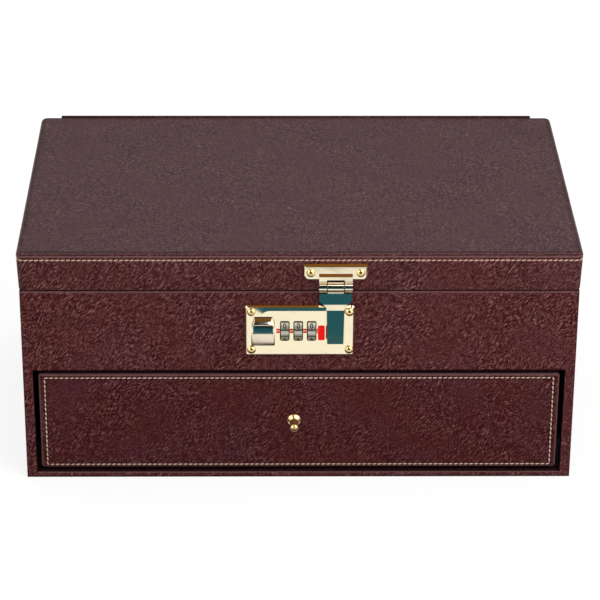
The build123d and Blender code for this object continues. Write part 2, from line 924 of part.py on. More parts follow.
# Hasp leaf: wide shoulders under the knuckles, a narrow tongue over the lock plate
leaf_wide_low = leaf_top - leaf_wide_drop
leaf_neck_low = leaf_top - leaf_neck_drop
leaf_slope_low = leaf_top - leaf_slope_drop
leaf_step_low = leaf_top - leaf_step_drop
with BuildPart() as hasp_leaf:
    with BuildSketch(Plane.YZ.offset(hasp_x - knuckle_span / 2)):
        with BuildLine():
            Polyline(
                (leaf_back, leaf_low),
                (leaf_back - leaf_foot_thick, leaf_low),
                (leaf_back - leaf_step_thick, leaf_step_low),
                (leaf_back - leaf_step_thick, leaf_slope_low),
                (leaf_back - leaf_top_thick, leaf_top),
                (leaf_back, leaf_top),
                close=True,
            )
        make_face()
    extrude(amount=knuckle_span)
    with BuildSketch(Plane.XZ.offset(-leaf_back)) as leaf_outline:
        with BuildLine():
            Polyline(
                (hasp_x - knuckle_span / 2, leaf_top),
                (hasp_x - knuckle_span / 2, leaf_wide_low),
                (hasp_x - leaf_narrow / 2, leaf_neck_low),
                (hasp_x - leaf_narrow / 2, leaf_low),
                (hasp_x + leaf_narrow / 2, leaf_low),
                (hasp_x + leaf_narrow / 2, leaf_neck_low),
                (hasp_x + knuckle_span / 2, leaf_wide_low),
                (hasp_x + knuckle_span / 2, leaf_top),
                close=True,
            )
        make_face()
        fillet(leaf_outline.vertices().group_by(Axis.Z)[0], radius=leaf_corner)
    extrude(amount=leaf_foot_thick, taper=leaf_draft_angle, mode=Mode.INTERSECT)
    slab(
        hasp_x - knuckle_half,
        hasp_x + knuckle_half,
        leaf_back - leaf_top_thick,
        leaf_back,
        leaf_top - leaf_link_lap,
        hinge_z,
    )
    with BuildSketch(Plane.YZ.offset(hasp_x - knuckle_half)):
        with Locations((hinge_y, hinge_z)):
            Circle(knuckle_radius)
    extrude(amount=knuckle_centre)
    with BuildSketch(Plane.YZ.offset(hasp_x - knuckle_half)):
        with Locations((hinge_y, hinge_z)):
            Circle(pin_radius + fit_gap)
    extrude(amount=knuckle_centre, mode=Mode.SUBTRACT)
keep(hasp_leaf, "hasp_leaf")

# Staple on the back of the leaf, with the eye that the bolt passes through
with BuildPart() as hasp_staple:
    with BuildSketch(Plane.YZ.offset(hasp_x - staple_thick / 2)) as staple_outline:
        with Locations(((leaf_back + staple_tip) / 2, staple_z)):
            Rectangle(staple_depth, staple_height)
        fillet(staple_outline.vertices().group_by(Axis.Y)[-1], radius=staple_eye / 2)
        with Locations((bolt_y, staple_z)):
            Circle(staple_eye, mode=Mode.SUBTRACT)
    extrude(amount=staple_thick)
keep(hasp_staple, "hasp_staple")

# Drawer: leather-wrapped front, open box and suede lining
with BuildPart() as drawer_front_board:
    slab(
        -drawer_board_x,
        drawer_board_x,
        board_front,
        drawer_front_back,
        drawer_board_low,
        drawer_board_high,
    )
    with BuildSketch(Plane.XZ.offset(-board_front)):
        with Locations((knob_x, knob_z)):
            Circle(knob_screw_radius + fit_gap)
    extrude(amount=-drawer_front_thick, mode=Mode.SUBTRACT)
keep(drawer_front_board, "drawer_front_board")

with BuildPart() as drawer_front_leather:
    slab(-drawer_x, drawer_x, front, drawer_front_back, drawer_low, drawer_high)
    fillet(faces().sort_by(Axis.Y)[0].edges(), radius=drawer_front_round)
    slab(
        -drawer_board_x,
        drawer_board_x,
        board_front,
        drawer_front_back,
        drawer_board_low,
        drawer_board_high,
        mode=Mode.SUBTRACT,
    )
    with BuildSketch(Plane.XZ.offset(-front)):
        with Locations((knob_x, knob_z)):
            Circle(knob_screw_radius + fit_gap)
    extrude(amount=-leather, mode=Mode.SUBTRACT)
keep(drawer_front_leather, "drawer_front_leather")

with BuildPart() as drawer_sides:
    for low, high in ((-drawer_board_x, -drawer_inner_x), (drawer_inner_x, drawer_board_x)):
        slab(low, high, drawer_front_back, drawer_tail, drawer_board_low, drawer_side_high)
keep(drawer_sides, "drawer_sides")

with BuildPart() as drawer_back:
    slab(
        -drawer_inner_x,
        drawer_inner_x,
        drawer_tail - drawer_side,
        drawer_tail,
        drawer_board_low,
        drawer_side_high,
    )
keep(drawer_back, "drawer_back")

with BuildPart() as drawer_bottom:
    slab(
        -drawer_inner_x,
        drawer_inner_x,
        drawer_front_back,
        drawer_tail - drawer_side,
        drawer_board_low,
        drawer_floor,
    )
keep(drawer_bottom, "drawer_bottom")

with BuildPart() as drawer_lining:
    slab(
        -drawer_inner_x,
        drawer_inner_x,
        drawer_front_back,
        drawer_tail - drawer_side,
        drawer_floor,
        drawer_side_high,
    )
    slab(
        -drawer_inner_x + lining,
        drawer_inner_x - lining,
        drawer_front_back + lining,
        drawer_tail - drawer_side - lining,
        drawer_floor + lining,
        drawer_side_high,
        mode=Mode.SUBTRACT,
    )
    with BuildSketch(Plane.XZ.offset(-drawer_front_back)):
        with Locations((knob_x, knob_z)):
            Circle(knob_screw_head_radius + slot_gap)
    extrude(amount=-lining, mode=Mode.SUBTRACT)
keep(drawer_lining, "drawer_lining")

# Knob: flared base, thin neck and ball, held by a screw from inside the drawer
ball_centre = knob_reach - knob_ball_radius
with BuildPart() as knob:
    with BuildSketch(Plane(origin=(knob_x, front, knob_z), x_dir=(1, 0, 0), z_dir=(0, 0, 1))):
        with BuildLine():
            Polyline(
                (0, 0),
                (knob_base_radius, 0),
                (knob_base_radius, -knob_base_thick),
                (knob_base_radius - knob_base_bevel, -knob_base_thick - knob_base_bevel),
            )
            ThreePointArc(
                (knob_base_radius - knob_base_bevel, -knob_base_thick - knob_base_bevel),
                (knob_neck_radius + knob_base_bevel, -knob_flare_bow),
                (knob_neck_radius, -knob_flare_end),
            )
            Polyline((knob_neck_radius, -knob_flare_end), (0, -knob_flare_end), (0, 0))
        make_face()
    revolve(axis=Axis((knob_x, front, knob_z), (0, 1, 0)))
    with Locations((knob_x, front - ball_centre, knob_z)):
        Sphere(knob_ball_radius)
    with BuildSketch(Plane.XZ.offset(-front + knob_flare_bow)):
        with Locations((knob_x, knob_z)):
            Circle(knob_neck_radius)
    extrude(amount=ball_centre - knob_flare_bow)
    with BuildSketch(Plane.XZ.offset(-front)):
        with Locations((knob_x, knob_z)):
            Circle(knob_screw_radius + fit_gap)
    extrude(amount=knob_thread_depth, mode=Mode.SUBTRACT)
keep(knob, "knob")

with BuildPart() as knob_screw:
    with BuildSketch(Plane.XZ.offset(-drawer_front_back)):
        with Locations((knob_x, knob_z)):
            Circle(knob_screw_radius)
    extrude(amount=drawer_front_back - front + knob_thread_depth - slot_gap)
    with BuildSketch(Plane.XZ.offset(-drawer_front_back)):
        with Locations((knob_x, knob_z)):
            Circle(knob_screw_head_radius)
    extrude(amount=-knob_screw_head)
keep(knob_screw, "knob_screw")

print("case", body_width, body_depth, lid_top)
print("lid axis", back + spine_thick / 2, body_height + seam_gap / 2)
print("hasp axis", round(hinge_y, 3), hinge_z)
print("dial axis", dial_y, dial_z, dial_places)
print("drawer inside", drawer_inner_x - lining, drawer_floor + lining, drawer_side_high)
print("tray", tray_front, tray_back, tray_floor, divider_top, cushion_top)
print("lock", lock_x, round(lock_z, 3), "tab", tab_x, tab_z, "hasp", hasp_x, "knob", knob_z)
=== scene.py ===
import json
import math
from itertools import product

import bmesh
import bpy
from mathutils import Matrix, Vector, noise
from mathutils.bvhtree import BVHTree


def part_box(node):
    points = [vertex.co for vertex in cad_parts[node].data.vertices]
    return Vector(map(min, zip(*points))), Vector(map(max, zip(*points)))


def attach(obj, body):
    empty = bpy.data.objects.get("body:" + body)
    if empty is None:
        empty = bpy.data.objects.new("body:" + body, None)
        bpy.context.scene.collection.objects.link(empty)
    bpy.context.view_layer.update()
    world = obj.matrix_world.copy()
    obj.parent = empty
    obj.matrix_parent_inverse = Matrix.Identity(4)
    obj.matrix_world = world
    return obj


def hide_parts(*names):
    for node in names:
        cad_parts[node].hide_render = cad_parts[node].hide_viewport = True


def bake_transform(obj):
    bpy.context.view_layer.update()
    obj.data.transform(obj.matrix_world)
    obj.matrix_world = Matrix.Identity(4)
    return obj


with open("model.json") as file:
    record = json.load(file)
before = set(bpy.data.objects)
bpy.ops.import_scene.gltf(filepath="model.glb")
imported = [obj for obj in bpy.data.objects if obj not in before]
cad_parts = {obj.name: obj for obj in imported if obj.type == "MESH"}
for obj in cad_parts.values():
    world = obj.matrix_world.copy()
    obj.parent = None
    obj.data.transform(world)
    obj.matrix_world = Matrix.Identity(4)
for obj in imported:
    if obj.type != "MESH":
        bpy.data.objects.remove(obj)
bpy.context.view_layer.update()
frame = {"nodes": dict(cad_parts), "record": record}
nodes = frame["nodes"]
scene = bpy.context.scene
mm = 0.001
print("frame loaded:", len(nodes), "nodes")


# shader maths
class Field:
    # one output socket, so that an expression on fields adds its Math nodes
    def __init__(self, graph, socket):
        self.graph = graph
        self.socket = socket

    def __add__(self, other):
        return self.graph.maths("ADD", self, other)

    def __radd__(self, other):
        return self.graph.maths("ADD", other, self)

    def __sub__(self, other):
        return self.graph.maths("SUBTRACT", self, other)

    def __rsub__(self, other):
        return self.graph.maths("SUBTRACT", other, self)

    def __mul__(self, other):
        return self.graph.maths("MULTIPLY", self, other)

    def __rmul__(self, other):
        return self.graph.maths("MULTIPLY", other, self)

    def __truediv__(self, other):
        return self.graph.maths("DIVIDE", self, other)

    def __abs__(self):
        return self.graph.maths("ABSOLUTE", self)

    def atLeast(self, other):
        return self.graph.maths("MAXIMUM", self, other)

    def atMost(self, other):
        return self.graph.maths("MINIMUM", self, other)

    def root(self):
        return self.graph.maths("SQRT", self)

    def ramp(self, low, high):
        # 0 at low, 1 at high, eased at both ends
        settings = {"interpolation_type": "SMOOTHSTEP"}
        return self.graph.node("ShaderNodeMapRange", settings, {0: self, 1: low, 2: high})


class Graph:
    # a node tree whose nodes all come from one method
    def __init__(self, tree):
        self.tree = tree
        tree.nodes.clear()

    def node(self, kind, settings=None, sockets=None, output=0):
        made = self.tree.nodes.new(kind)
        for setting, value in (settings or {}).items():
            setattr(made, setting, value)
        for socket, value in (sockets or {}).items():
            if isinstance(value, Field):
                self.tree.links.new(value.socket, made.inputs[socket])
            else:
                made.inputs[socket].default_value = value
        return Field(self, made.outputs[output]) if made.outputs else made

    def maths(self, operation, *values):
        return self.node("ShaderNodeMath", {"operation": operation}, dict(enumerate(values)))

    def place(self):
        return self.node("ShaderNodeTexCoord", output="Object")

    def split(self, vector):
        # the three numbers of a vector
        first = self.node("ShaderNodeSeparateXYZ", None, {0: vector})
        return [Field(self, output) for output in first.socket.node.outputs]

    def rays(self, kind):
        return self.node("ShaderNodeLightPath", output=kind)

    def reflected(self):
        return self.rays("Is Glossy Ray").atLeast(self.rays("Is Transmission Ray"))

    def either(self, share, first, second):
        return self.node("ShaderNodeMixShader", None, {0: share, 1: first, 2: second})

    def vector(self, operation, first, second):
        sockets = {0: first, 3 if operation == "SCALE" else 1: second}
        return self.node("ShaderNodeVectorMath", {"operation": operation}, sockets)

    def blendColour(self, share, first, second):
        values = [value if isinstance(value, Field) else (*value, 1.0) for value in (first, second)]
        return self.node("ShaderNodeMix", {"data_type": "RGBA"}, {0: share, 6: values[0], 7: values[1]}, 2)


class Finish(Graph):
    # a procedural material with a Principled surface
    socketNames = {
        "baseColor": "Base Color",
        "specular": "Specular IOR Level",
        "sheenWeight": "Sheen Weight",
        "sheenRoughness": "Sheen Roughness",
        "sheenTint": "Sheen Tint",
    }

    def __init__(self, name, **constants):
        self.material = bpy.data.materials.new(name)
        self.material.use_nodes = True
        super().__init__(self.material.node_tree)
        self.surface = self.node("ShaderNodeBsdfPrincipled")
        self.output = self.node("ShaderNodeOutputMaterial", None, {0: self.surface})
        for socket, value in constants.items():
            self.set(socket, value)

    def set(self, socket, value):
        goal = self.surface.socket.node.inputs[self.socketNames.get(socket, socket.capitalize())]
        if isinstance(value, Field):
            self.tree.links.new(value.socket, goal)
        else:
            goal.default_value = (*value, 1.0) if isinstance(value, tuple) else value

    def dressed(self, colour, roughness, normal):
        for socket, value in (("baseColor", colour), ("roughness", roughness), ("normal", normal)):
            self.set(socket, value)
        return self.material

    def show(self, surface):
        # another shader takes the surface's place
        self.tree.links.new(surface.socket, self.output.inputs[0])

    def glow(self, colour, strength=1.0):
        return self.node("ShaderNodeEmission", None, {0: colour, 1: strength})

    def turned(self, place, rotation, stretch):
        settings = {"vector_type": "TEXTURE"}
        return self.node("ShaderNodeMapping", settings, {0: place, 2: rotation, 3: stretch})

    def mottle(self, place, size, detail=2.0, roughness=0.5, output=0):
        sockets = {"Vector": place, "Scale": 1 / size, "Detail": detail, "Roughness": roughness}
        return self.node("ShaderNodeTexNoise", None, sockets, output)

    def warped(self, place, size, amount):
        drift = self.mottle(place, size, output="Color")
        centred = self.vector("SUBTRACT", drift, (0.5, 0.5, 0.5))
        return self.vector("ADD", place, self.vector("SCALE", centred, amount))

    def laidFlat(self):
        # flat coordinates on the front, the sides and the top, shifted apart, and the share facing up
        turnsAt, shiftTop, shiftSide = (0.70, 0.72), 0.7, 0.4
        across, deep, up = self.split(self.place())
        sideways, _, upward = self.split(self.node("ShaderNodeTexCoord", output="Normal"))
        onSide = abs(sideways).ramp(*turnsAt)
        onTop = abs(upward).ramp(*turnsAt)
        first = across + (deep - across) * onSide + onTop * shiftTop
        second = up + (deep - up) * onTop + onSide * shiftSide
        return self.node("ShaderNodeCombineXYZ", None, {0: first, 1: second}), onTop

    def relief(self, height, depth, strength=1.0, under=None):
        sockets = {"Strength": strength, "Distance": depth, "Height": height}
        if under is not None:
            sockets["Normal"] = under
        return self.node("ShaderNodeBump", None, sockets)


# finishes
leatherLook = {
    "hollowAndShade": (0.022, 0.0012, 0.0018),
    "ground": (0.066, 0.0085, 0.0098),
    "ridgeAndHighlight": (0.275, 0.120, 0.112),
    "patch": (0.066, 0.0170, 0.0270),
    "paintedHighlight": (0.180, 0.088, 0.092),
    "paintedShade": (0.010, 0.0008, 0.0008),
    "paintedTopSheen": (0.036, 0.042, 0.056),
    "paintedTopSheenShare": 0.30,
    "pebbleSize": 0.46 * mm,
    "creaseSize": 0.40 * mm,
    "patchSize": 36 * mm,
    "cloudSize": 43.2 * mm,
    "brokenSize": 6.5 * mm,
    "swellSize": 9 * mm,
    "grainDepth": 0.10 * mm,
    "lean": math.radians(47),
    "creaseStretch": (7.0, 1.0, 1.0),
    # (size, amount) of what bends the creases
    "drift": (30 * mm, 11 * mm),
    "shake": (3.4 * mm, 0.55 * mm),
}


def grainedLeather(name, shade, specular, grain=1.0, paintedLight=None):
    # fine pebbles, and creases that run aslant where the hide was drawn
    look = leatherLook
    finish = Finish(name, specular=specular)
    place, onTop = finish.laidFlat()
    drifting = finish.warped(place, *look["drift"])
    shaken = finish.warped(drifting, *look["shake"])
    aslant = finish.turned(shaken, (0, 0, look["lean"]), look["creaseStretch"])
    creases = finish.mottle(aslant, look["creaseSize"], 1.0)
    pebbles = finish.mottle(shaken, look["pebbleSize"], 1.0)
    drawn = finish.mottle(place, look["patchSize"], 1.0).ramp(0.34, 0.60)
    broken = finish.mottle(drifting, look["brokenSize"]).ramp(0.36, 0.58)
    creased = (0.36 + 0.64 * drawn) * (0.70 + 0.30 * broken) * grain
    pebbled = (0.52 - 0.30 * drawn) * grain
    ridges = creases.ramp(0.55, 0.67) * creased + pebbles.ramp(0.54, 0.72) * pebbled
    hollows = creases.ramp(0.50, 0.34) * creased + pebbles.ramp(0.50, 0.28) * pebbled
    cloud = finish.mottle(place, look["cloudSize"], 1.0).ramp(0.45, 0.68)

    def shaded(part):
        return tuple(value * shade for value in look[part])

    tone = finish.blendColour(cloud * 0.5, shaded("ground"), shaded("patch"))
    # the hollows' darker tone is partly the grain's own and partly painted shade; the ridges' lighter tone is
    # partly the grain's own and partly painted highlight
    tone = finish.blendColour(hollows.atMost(1.0), tone, shaded("hollowAndShade"))
    tone = finish.blendColour(ridges.atMost(1.0), tone, shaded("ridgeAndHighlight"))
    # faces turned upward get a painted greyer sheen
    tone = finish.blendColour(onTop * look["paintedTopSheenShare"], tone, look["paintedTopSheen"])
    if paintedLight:
        # painted highlights, broken up by the pebbles, and painted shade
        light, dark = paintedLight(finish.split(finish.place()))
        speckledHighlight = 0.45 + 0.75 * pebbles.ramp(0.35, 0.65)
        tone = finish.blendColour(light * speckledHighlight, tone, shaded("paintedHighlight"))
        tone = finish.blendColour(dark, tone, shaded("paintedShade"))
    gloss = 0.48 - 0.08 * ridges.atMost(1.0) + 0.06 * cloud
    swell = finish.mottle(place, look["swellSize"], 1.0)
    return finish.dressed(tone, gloss, finish.relief(ridges - hollows + 1.5 * swell, look["grainDepth"]))


# painted highlights and shade, in mm: a level line is (height, half of its width, soft width, strength)
paintedLightLook = {
    "outline": (165, 104),
    "lidLight": (148.45, 0.42, 0.35, 0.85),
    "lidGlint": (150.05, 0.12, 0.3, 0.35),
    "lidValley": (149.4, 0.12, 0.35, 0.55),
    "lidCrease": (150.46, 0.07, 0.06, 0.6),
    "lidGap": (126.05, 0.35, 0.35, 0.95),
    "caseLight": (125.0, 0.55, 0.3, 0.6),
    "caseGap": (126.1, 0.3, 0.15, 0.95),
    "foot": (0.0, 0.5, 0.7, 0.6),
    "rail": (3.15, 0.25, 0.3, 0.8),
    "overDrawer": (72.9, 0.45, 0.35, 0.85),
    "bayShade": 0.65,
    # (middle, half size) on the drawer's front
    "drawerRim": ((0.0, 38.7), (156.0, 31.8)),
    "drawerRow": ((0.0, 38.25), (152.25, 29.55)),
}


def within(value, edge, further):
    # 1 up to the edge, 0 further on
    return 1 - value.ramp(edge * mm, further * mm)


def levelLine(up, paintedBand):
    height, half, soft, strength = paintedLightLook[paintedBand]
    return within(abs(up - height * mm), half, half + soft) * strength


def outerEdge(place):
    # 1 within a millimetre of the case's outline
    wide, deep = paintedLightLook["outline"]
    outside = (abs(place[0]) - wide * mm).atLeast(abs(place[1]) - deep * mm)
    return outside.ramp(-1.1 * mm, -0.7 * mm)


def lidFolds(place):
    # painted highlights on the rolled rim between two valleys of painted shade, and painted shade in the gap
    # at the lid's lower edge
    up = place[2]
    dark = levelLine(up, "lidValley") + levelLine(up, "lidCrease")
    gap = levelLine(up, "lidGap") * outerEdge(place)
    return levelLine(up, "lidLight") + levelLine(up, "lidGlint"), dark + gap


def caseFolds(place):
    # painted highlights on the edge under the lid and on the rail below the drawer, and painted shade at the
    # foot, over the drawer, in the drawer bay and in the gap under the lid
    across, deep, up = place
    onFront = deep.ramp(-103.0 * mm, -103.3 * mm)
    rail = levelLine(up, "rail") * onFront * within(abs(across), 158.5, 159)
    light = levelLine(up, "caseLight") * outerEdge(place) + rail
    nearFront = within(deep, -90, -89)
    overDrawer = levelLine(up, "overDrawer") * within(abs(across), 159, 159.4) * nearFront
    behindFront = deep.ramp(-103.7 * mm, -103.2 * mm)
    inBay = behindFront * nearFront * within(abs(across), 159.2, 159.4) * within(up, 74, 75)
    shaded = (inBay * paintedLightLook["bayShade"]).atLeast(overDrawer)
    gap = levelLine(up, "caseGap") * outerEdge(place)
    return light.atMost(0.9), levelLine(up, "foot").atLeast(shaded).atLeast(gap)


def rimOf(place, middle, half):
    # distance outwards from a rectangle on the front
    besides = abs(place[0] - middle[0] * mm) - half[0] * mm
    above = abs(place[2] - middle[1] * mm) - half[1] * mm
    return besides.atLeast(above)


def drawerFolds(place):
    # painted highlight on the padded rim; the row of stitches is pulled down between valleys of painted
    # shade, and painted shade lies inside the drawer's edge
    inside = place[1].ramp(-103.3 * mm, -102.7 * mm)
    light = rimOf(place, *paintedLightLook["drawerRim"]).ramp(-1.35 * mm, -0.85 * mm) * (1 - inside)
    row = abs(rimOf(place, *paintedLightLook["drawerRow"]))
    return light * 0.9, (within(row, 0.65, 1.25) * 0.6).atLeast(inside * 0.3)


metalLook = {
    "gold": (0.955, 0.85, 0.60),
    "brass": (0.95, 0.69, 0.32),
    "nickel": (0.70, 0.65, 0.52),
    "steel": (0.50, 0.50, 0.51),
    "blackenedAndGrooveShade": (0.045, 0.045, 0.048),
    "button": (0.84, 0.73, 0.57),
}


def polishedMetal(name, colour, roughness, tarnish, pressed=None):
    finish = Finish(name, metallic=1.0)
    place = finish.place()
    smears = finish.mottle(finish.turned(place, (0.3, 0.5, 0.2), (3.0, 1.0, 1.0)), 7 * mm, 3.0)
    scratches = finish.mottle(finish.turned(place, (0, 0.35, 0), (14.0, 1.0, 1.0)), 0.35 * mm)
    dull = tuple(value * 0.86 for value in colour)
    tone = finish.blendColour(smears.ramp(0.5, 0.8) * tarnish, colour, dull)
    surface = finish.relief(scratches, 0.004 * mm, 0.5)
    if pressed:
        surface = finish.relief(pressed(finish.split(place)), 1.0, 1.0, surface)
    return finish.dressed(tone, roughness + smears.ramp(0.35, 0.75) * roughness * 0.6, surface)


plateCrown = {
    "middleHeight": 100.85 * mm,
    "half": (23.2 * mm, 13.1 * mm),
    "corner": 5.5 * mm,
    "slope": 0.085,
}
leafSlope = 0.03


def plateFallsAway(place):
    # the pressed plate leans back a little outside a flat panel with rounded corners
    across, _, up = place
    corner = plateCrown["corner"]
    besides = (abs(across) - (plateCrown["half"][0] - corner)).atLeast(0.0)
    above = (abs(up - plateCrown["middleHeight"]) - (plateCrown["half"][1] - corner)).atLeast(0.0)
    outside = (besides * besides + above * above).root() - corner
    return outside.atLeast(0.0) * -plateCrown["slope"]


dialFace = {
    "middle": (-101.1 * mm, 100.85 * mm),
    "first": math.radians(29),
    "pitch": math.radians(36),
    "flat": math.radians(14),
    "soft": math.radians(2),
}


def dialMetal(name, colour, grooveShade):
    # satin flats for the digits, with painted shade darkening the grooves between them
    finish = Finish(name, metallic=0.85)
    _, deep, up = finish.split(finish.place())
    rise = up - dialFace["middle"][1]
    turn = finish.maths("ARCTAN2", rise, dialFace["middle"][0] - deep)
    step = finish.maths("WRAP", (turn - dialFace["first"]) / dialFace["pitch"], 0.5, -0.5)
    away = abs(step) * dialFace["pitch"]
    inGroove = away.ramp(dialFace["flat"], dialFace["flat"] + dialFace["soft"])
    worn = finish.mottle(finish.place(), 1.2 * mm, 3.0)
    tone = finish.blendColour(inGroove, colour, grooveShade)
    return finish.dressed(tone, 0.30 + 0.12 * worn + 0.2 * inGroove, finish.relief(worn, 0.01 * mm))


def leafLeansBack(place):
    # the leaf's face is pressed a little further back towards its top
    return place[2] * -leafSlope


def napSuede(name, dark, light, size=0.5 * mm):
    finish = Finish(name, specular=0.2, sheenWeight=0.35, sheenRoughness=0.5, sheenTint=light)
    place = finish.place()
    nap = finish.mottle(place, size, 3.0, 0.6)
    strokes = finish.mottle(finish.turned(place, (0.4, 0.2, 0.9), (3.0, 1.0, 1.0)), 14 * mm)
    tone = finish.blendColour(nap.ramp(0.3, 0.75) * 0.5 + strokes.ramp(0.3, 0.7) * 0.5, dark, light)
    return finish.dressed(tone, 0.85 + 0.1 * nap, finish.relief(nap + strokes * 0.4, 0.12 * mm))


def fibreBoard():
    finish = Finish("boardCore", specular=0.25)
    place = finish.place()
    fibres = finish.mottle(finish.turned(place, (0.1, 0.0, 0.3), (6.0, 1.0, 1.0)), 0.6 * mm, 3.0)
    flecks = finish.node("ShaderNodeTexVoronoi", None, {"Vector": place, "Scale": 1 / (1.6 * mm)})
    mixed = fibres * 0.7 + flecks.ramp(0.1, 0.6) * 0.3
    tone = finish.blendColour(mixed, (0.23, 0.15, 0.085), (0.44, 0.31, 0.19))
    return finish.dressed(tone, 0.78 + 0.12 * fibres, finish.relief(fibres, 0.05 * mm))


def waxedThread():
    finish = Finish("thread", specular=0.35, sheenWeight=0.2, sheenTint=(0.9, 0.75, 0.6))
    place = finish.place()
    plies = finish.mottle(place, 0.22 * mm)
    worn = finish.mottle(place, 18 * mm).ramp(0.35, 0.7)
    tone = finish.blendColour(plies.ramp(0.3, 0.7), (0.40, 0.25, 0.19), (0.74, 0.55, 0.46))
    tone = finish.blendColour(worn * 0.5, tone, (0.48, 0.28, 0.16))
    return finish.dressed(tone, 0.55 + 0.15 * plies, finish.relief(plies, 0.05 * mm))


def enamel(name, colour, deep):
    finish = Finish(name, specular=0.12)
    pooled = finish.mottle(finish.place(), 1.6 * mm)
    tone = finish.blendColour(pooled.ramp(0.3, 0.8), colour, deep)
    return finish.dressed(tone, 0.28 + 0.14 * pooled, finish.relief(pooled, 0.02 * mm))


# lit and shaded copies of one leather: each piece's copy is painted darker by its own shade factor
caseLeather = grainedLeather("caseLeather", 0.97, 0.05, 1.35, caseFolds)
lidLeather = grainedLeather("lidLeather", 0.94, 0.09, 1.4, lidFolds)
drawerLeather = grainedLeather("drawerLeather", 0.85, 0.04, 0.9, drawerFolds)
spineLeather = grainedLeather("spineLeather", 0.8, 0.12)
goldPlate = polishedMetal("goldPlate", metalLook["gold"], 0.07, 0.5)
goldCover = polishedMetal("goldCover", metalLook["gold"], 0.07, 0.5, plateFallsAway)
buttonGold = polishedMetal("buttonGold", metalLook["button"], 0.09, 0.7)
goldLeaf = polishedMetal("goldLeaf", metalLook["gold"], 0.07, 0.5, leafLeansBack)
warmBrass = polishedMetal("warmBrass", metalLook["brass"], 0.20, 0.8)
nickel = dialMetal("nickel", metalLook["nickel"], metalLook["blackenedAndGrooveShade"])
steel = polishedMetal("steel", metalLook["steel"], 0.3, 0.9)
blackenedSteel = polishedMetal("blackenedSteel", metalLook["blackenedAndGrooveShade"], 0.5, 0.9)
liningSuede = napSuede("liningSuede", (0.085, 0.055, 0.042), (0.19, 0.13, 0.10))
cushionSuede = napSuede("cushionSuede", (0.15, 0.10, 0.072), (0.31, 0.225, 0.165), 0.42 * mm)
blackFelt = napSuede("blackFelt", (0.008, 0.007, 0.007), (0.03, 0.026, 0.026), 0.7 * mm)
boardCore = fibreBoard()
thread = waxedThread()
redEnamel = enamel("redEnamel", (1.0, 0.006, 0.003), (0.78, 0.002, 0.002))
digitInk = enamel("digitInk", (0.012, 0.011, 0.011), (0.02, 0.018, 0.018))

finishes = {
    "case_leather": caseLeather,
    "spine_leather": spineLeather,
    "board": boardCore,
    "wrapped_board": liningSuede,
    "base_felt": blackFelt,
    "suede_lining": liningSuede,
    "cushion_suede": cushionSuede,
    "gold_plate": goldPlate,
    "brass": warmBrass,
    "steel": steel,
    "nickel": nickel,
    "red_enamel": redEnamel,
}
for part in frame["record"]["subparts"]:
    node = nodes[part["node"]]
    node.data.materials.clear()
    node.data.materials.append(finishes[part["material_slot"]])
nodes["lock_plate"].data.materials[0] = goldCover
nodes["hasp_leaf"].data.materials[0] = goldLeaf
for name in ("lock_case", "dial_spindle", "code_cam_1", "code_cam_2", "code_cam_3"):
    nodes[name].data.materials[0] = blackenedSteel
print("finishes made")


# mesh helpers
def placed(name, data):
    made = bpy.data.objects.new(name, data)
    scene.collection.objects.link(made)
    return made


def addPiece(name, points, faces, finish, slot, body=None, replaced=()):
    mesh = bpy.data.meshes.new(name)
    mesh.from_pydata([Vector(point) * mm for point in points], [], faces)
    mesh.validate()
    mesh.update()
    tidy = bmesh.new()
    tidy.from_mesh(mesh)
    bmesh.ops.recalc_face_normals(tidy, faces=tidy.faces)
    tidy.to_mesh(mesh)
    tidy.free()
    return addMesh(name, mesh, finish, body, replaced)


def addMesh(name, mesh, finish, body, replaced):
    mesh.materials.clear()
    mesh.materials.append(finish)
    piece = placed(name, mesh)
    mesh.shade_smooth()
    if replaced:
        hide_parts(*replaced)
    if body:
        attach(piece, body)
    return piece


def skinRings(rings, closeFirst=True, closeLast=True):
    # rings of equal length, joined by quads
    count = len(rings[0])
    points = [point for ring in rings for point in ring]
    faces = []
    last = len(points) - count
    for low in range(0, last, count):
        high = low + count
        for i in range(count):
            j = (i + 1) % count
            faces.append((low + i, low + j, high + j, high + i))
    if closeFirst:
        faces.append(tuple(range(count))[::-1])
    if closeLast:
        faces.append(tuple(range(last, len(points))))
    return points, faces


def merge(points, faces, more):
    # another mesh joins the lists
    start = len(points)
    points += more[0]
    faces += [tuple(v + start for v in face) for face in more[1]]


def wheel(count):
    # evenly spaced angles of one turn
    return [2 * math.pi * i / count for i in range(count)]


def roundedOutline(left, right, low, high, radius, long, short):
    # a rounded rectangle as (a, b) pairs, anticlockwise; long and short count its sides' steps
    cornerSteps = 6
    centres = [(right - radius, low + radius, -90), (right - radius, high - radius, 0),
               (left + radius, high - radius, 90), (left + radius, low + radius, 180)]
    arcs = []
    for a, b, start in centres:
        turns = [math.radians(start + 90 * i / cornerSteps) for i in range(cornerSteps + 1)]
        arcs.append([(a + radius * math.cos(turn), b + radius * math.sin(turn)) for turn in turns])
    outline = []
    for arc, after, count in zip(arcs, arcs[1:] + arcs[:1], (short, long, short, long)):
        (a, b), (c, d) = arc[-1], after[0]
        outline += arc + [(a + (c - a) * (i / count), b + (d - b) * (i / count)) for i in range(1, count)]
    return outline


def bevelEdges(piece, chosen):
    # chosen(edge ends in mm) gives a bevel width in mm, or 0
    mesh = piece.data
    widths = [chosen(*(mesh.vertices[v].co / mm for v in edge.vertices)) for edge in mesh.edges]
    widest = max(widths)
    weights = mesh.attributes.new("bevel_weight_edge", "FLOAT", "EDGE")
    weights.data.foreach_set("value", [width / widest for width in widths])
    bevel = piece.modifiers.new("roundedEdges", "BEVEL")
    bevel.limit_method = "WEIGHT"
    bevel.width = widest * mm
    bevel.segments = 4
    piece.modifiers.new("faceNormals", "WEIGHTED_NORMAL").keep_sharp = True


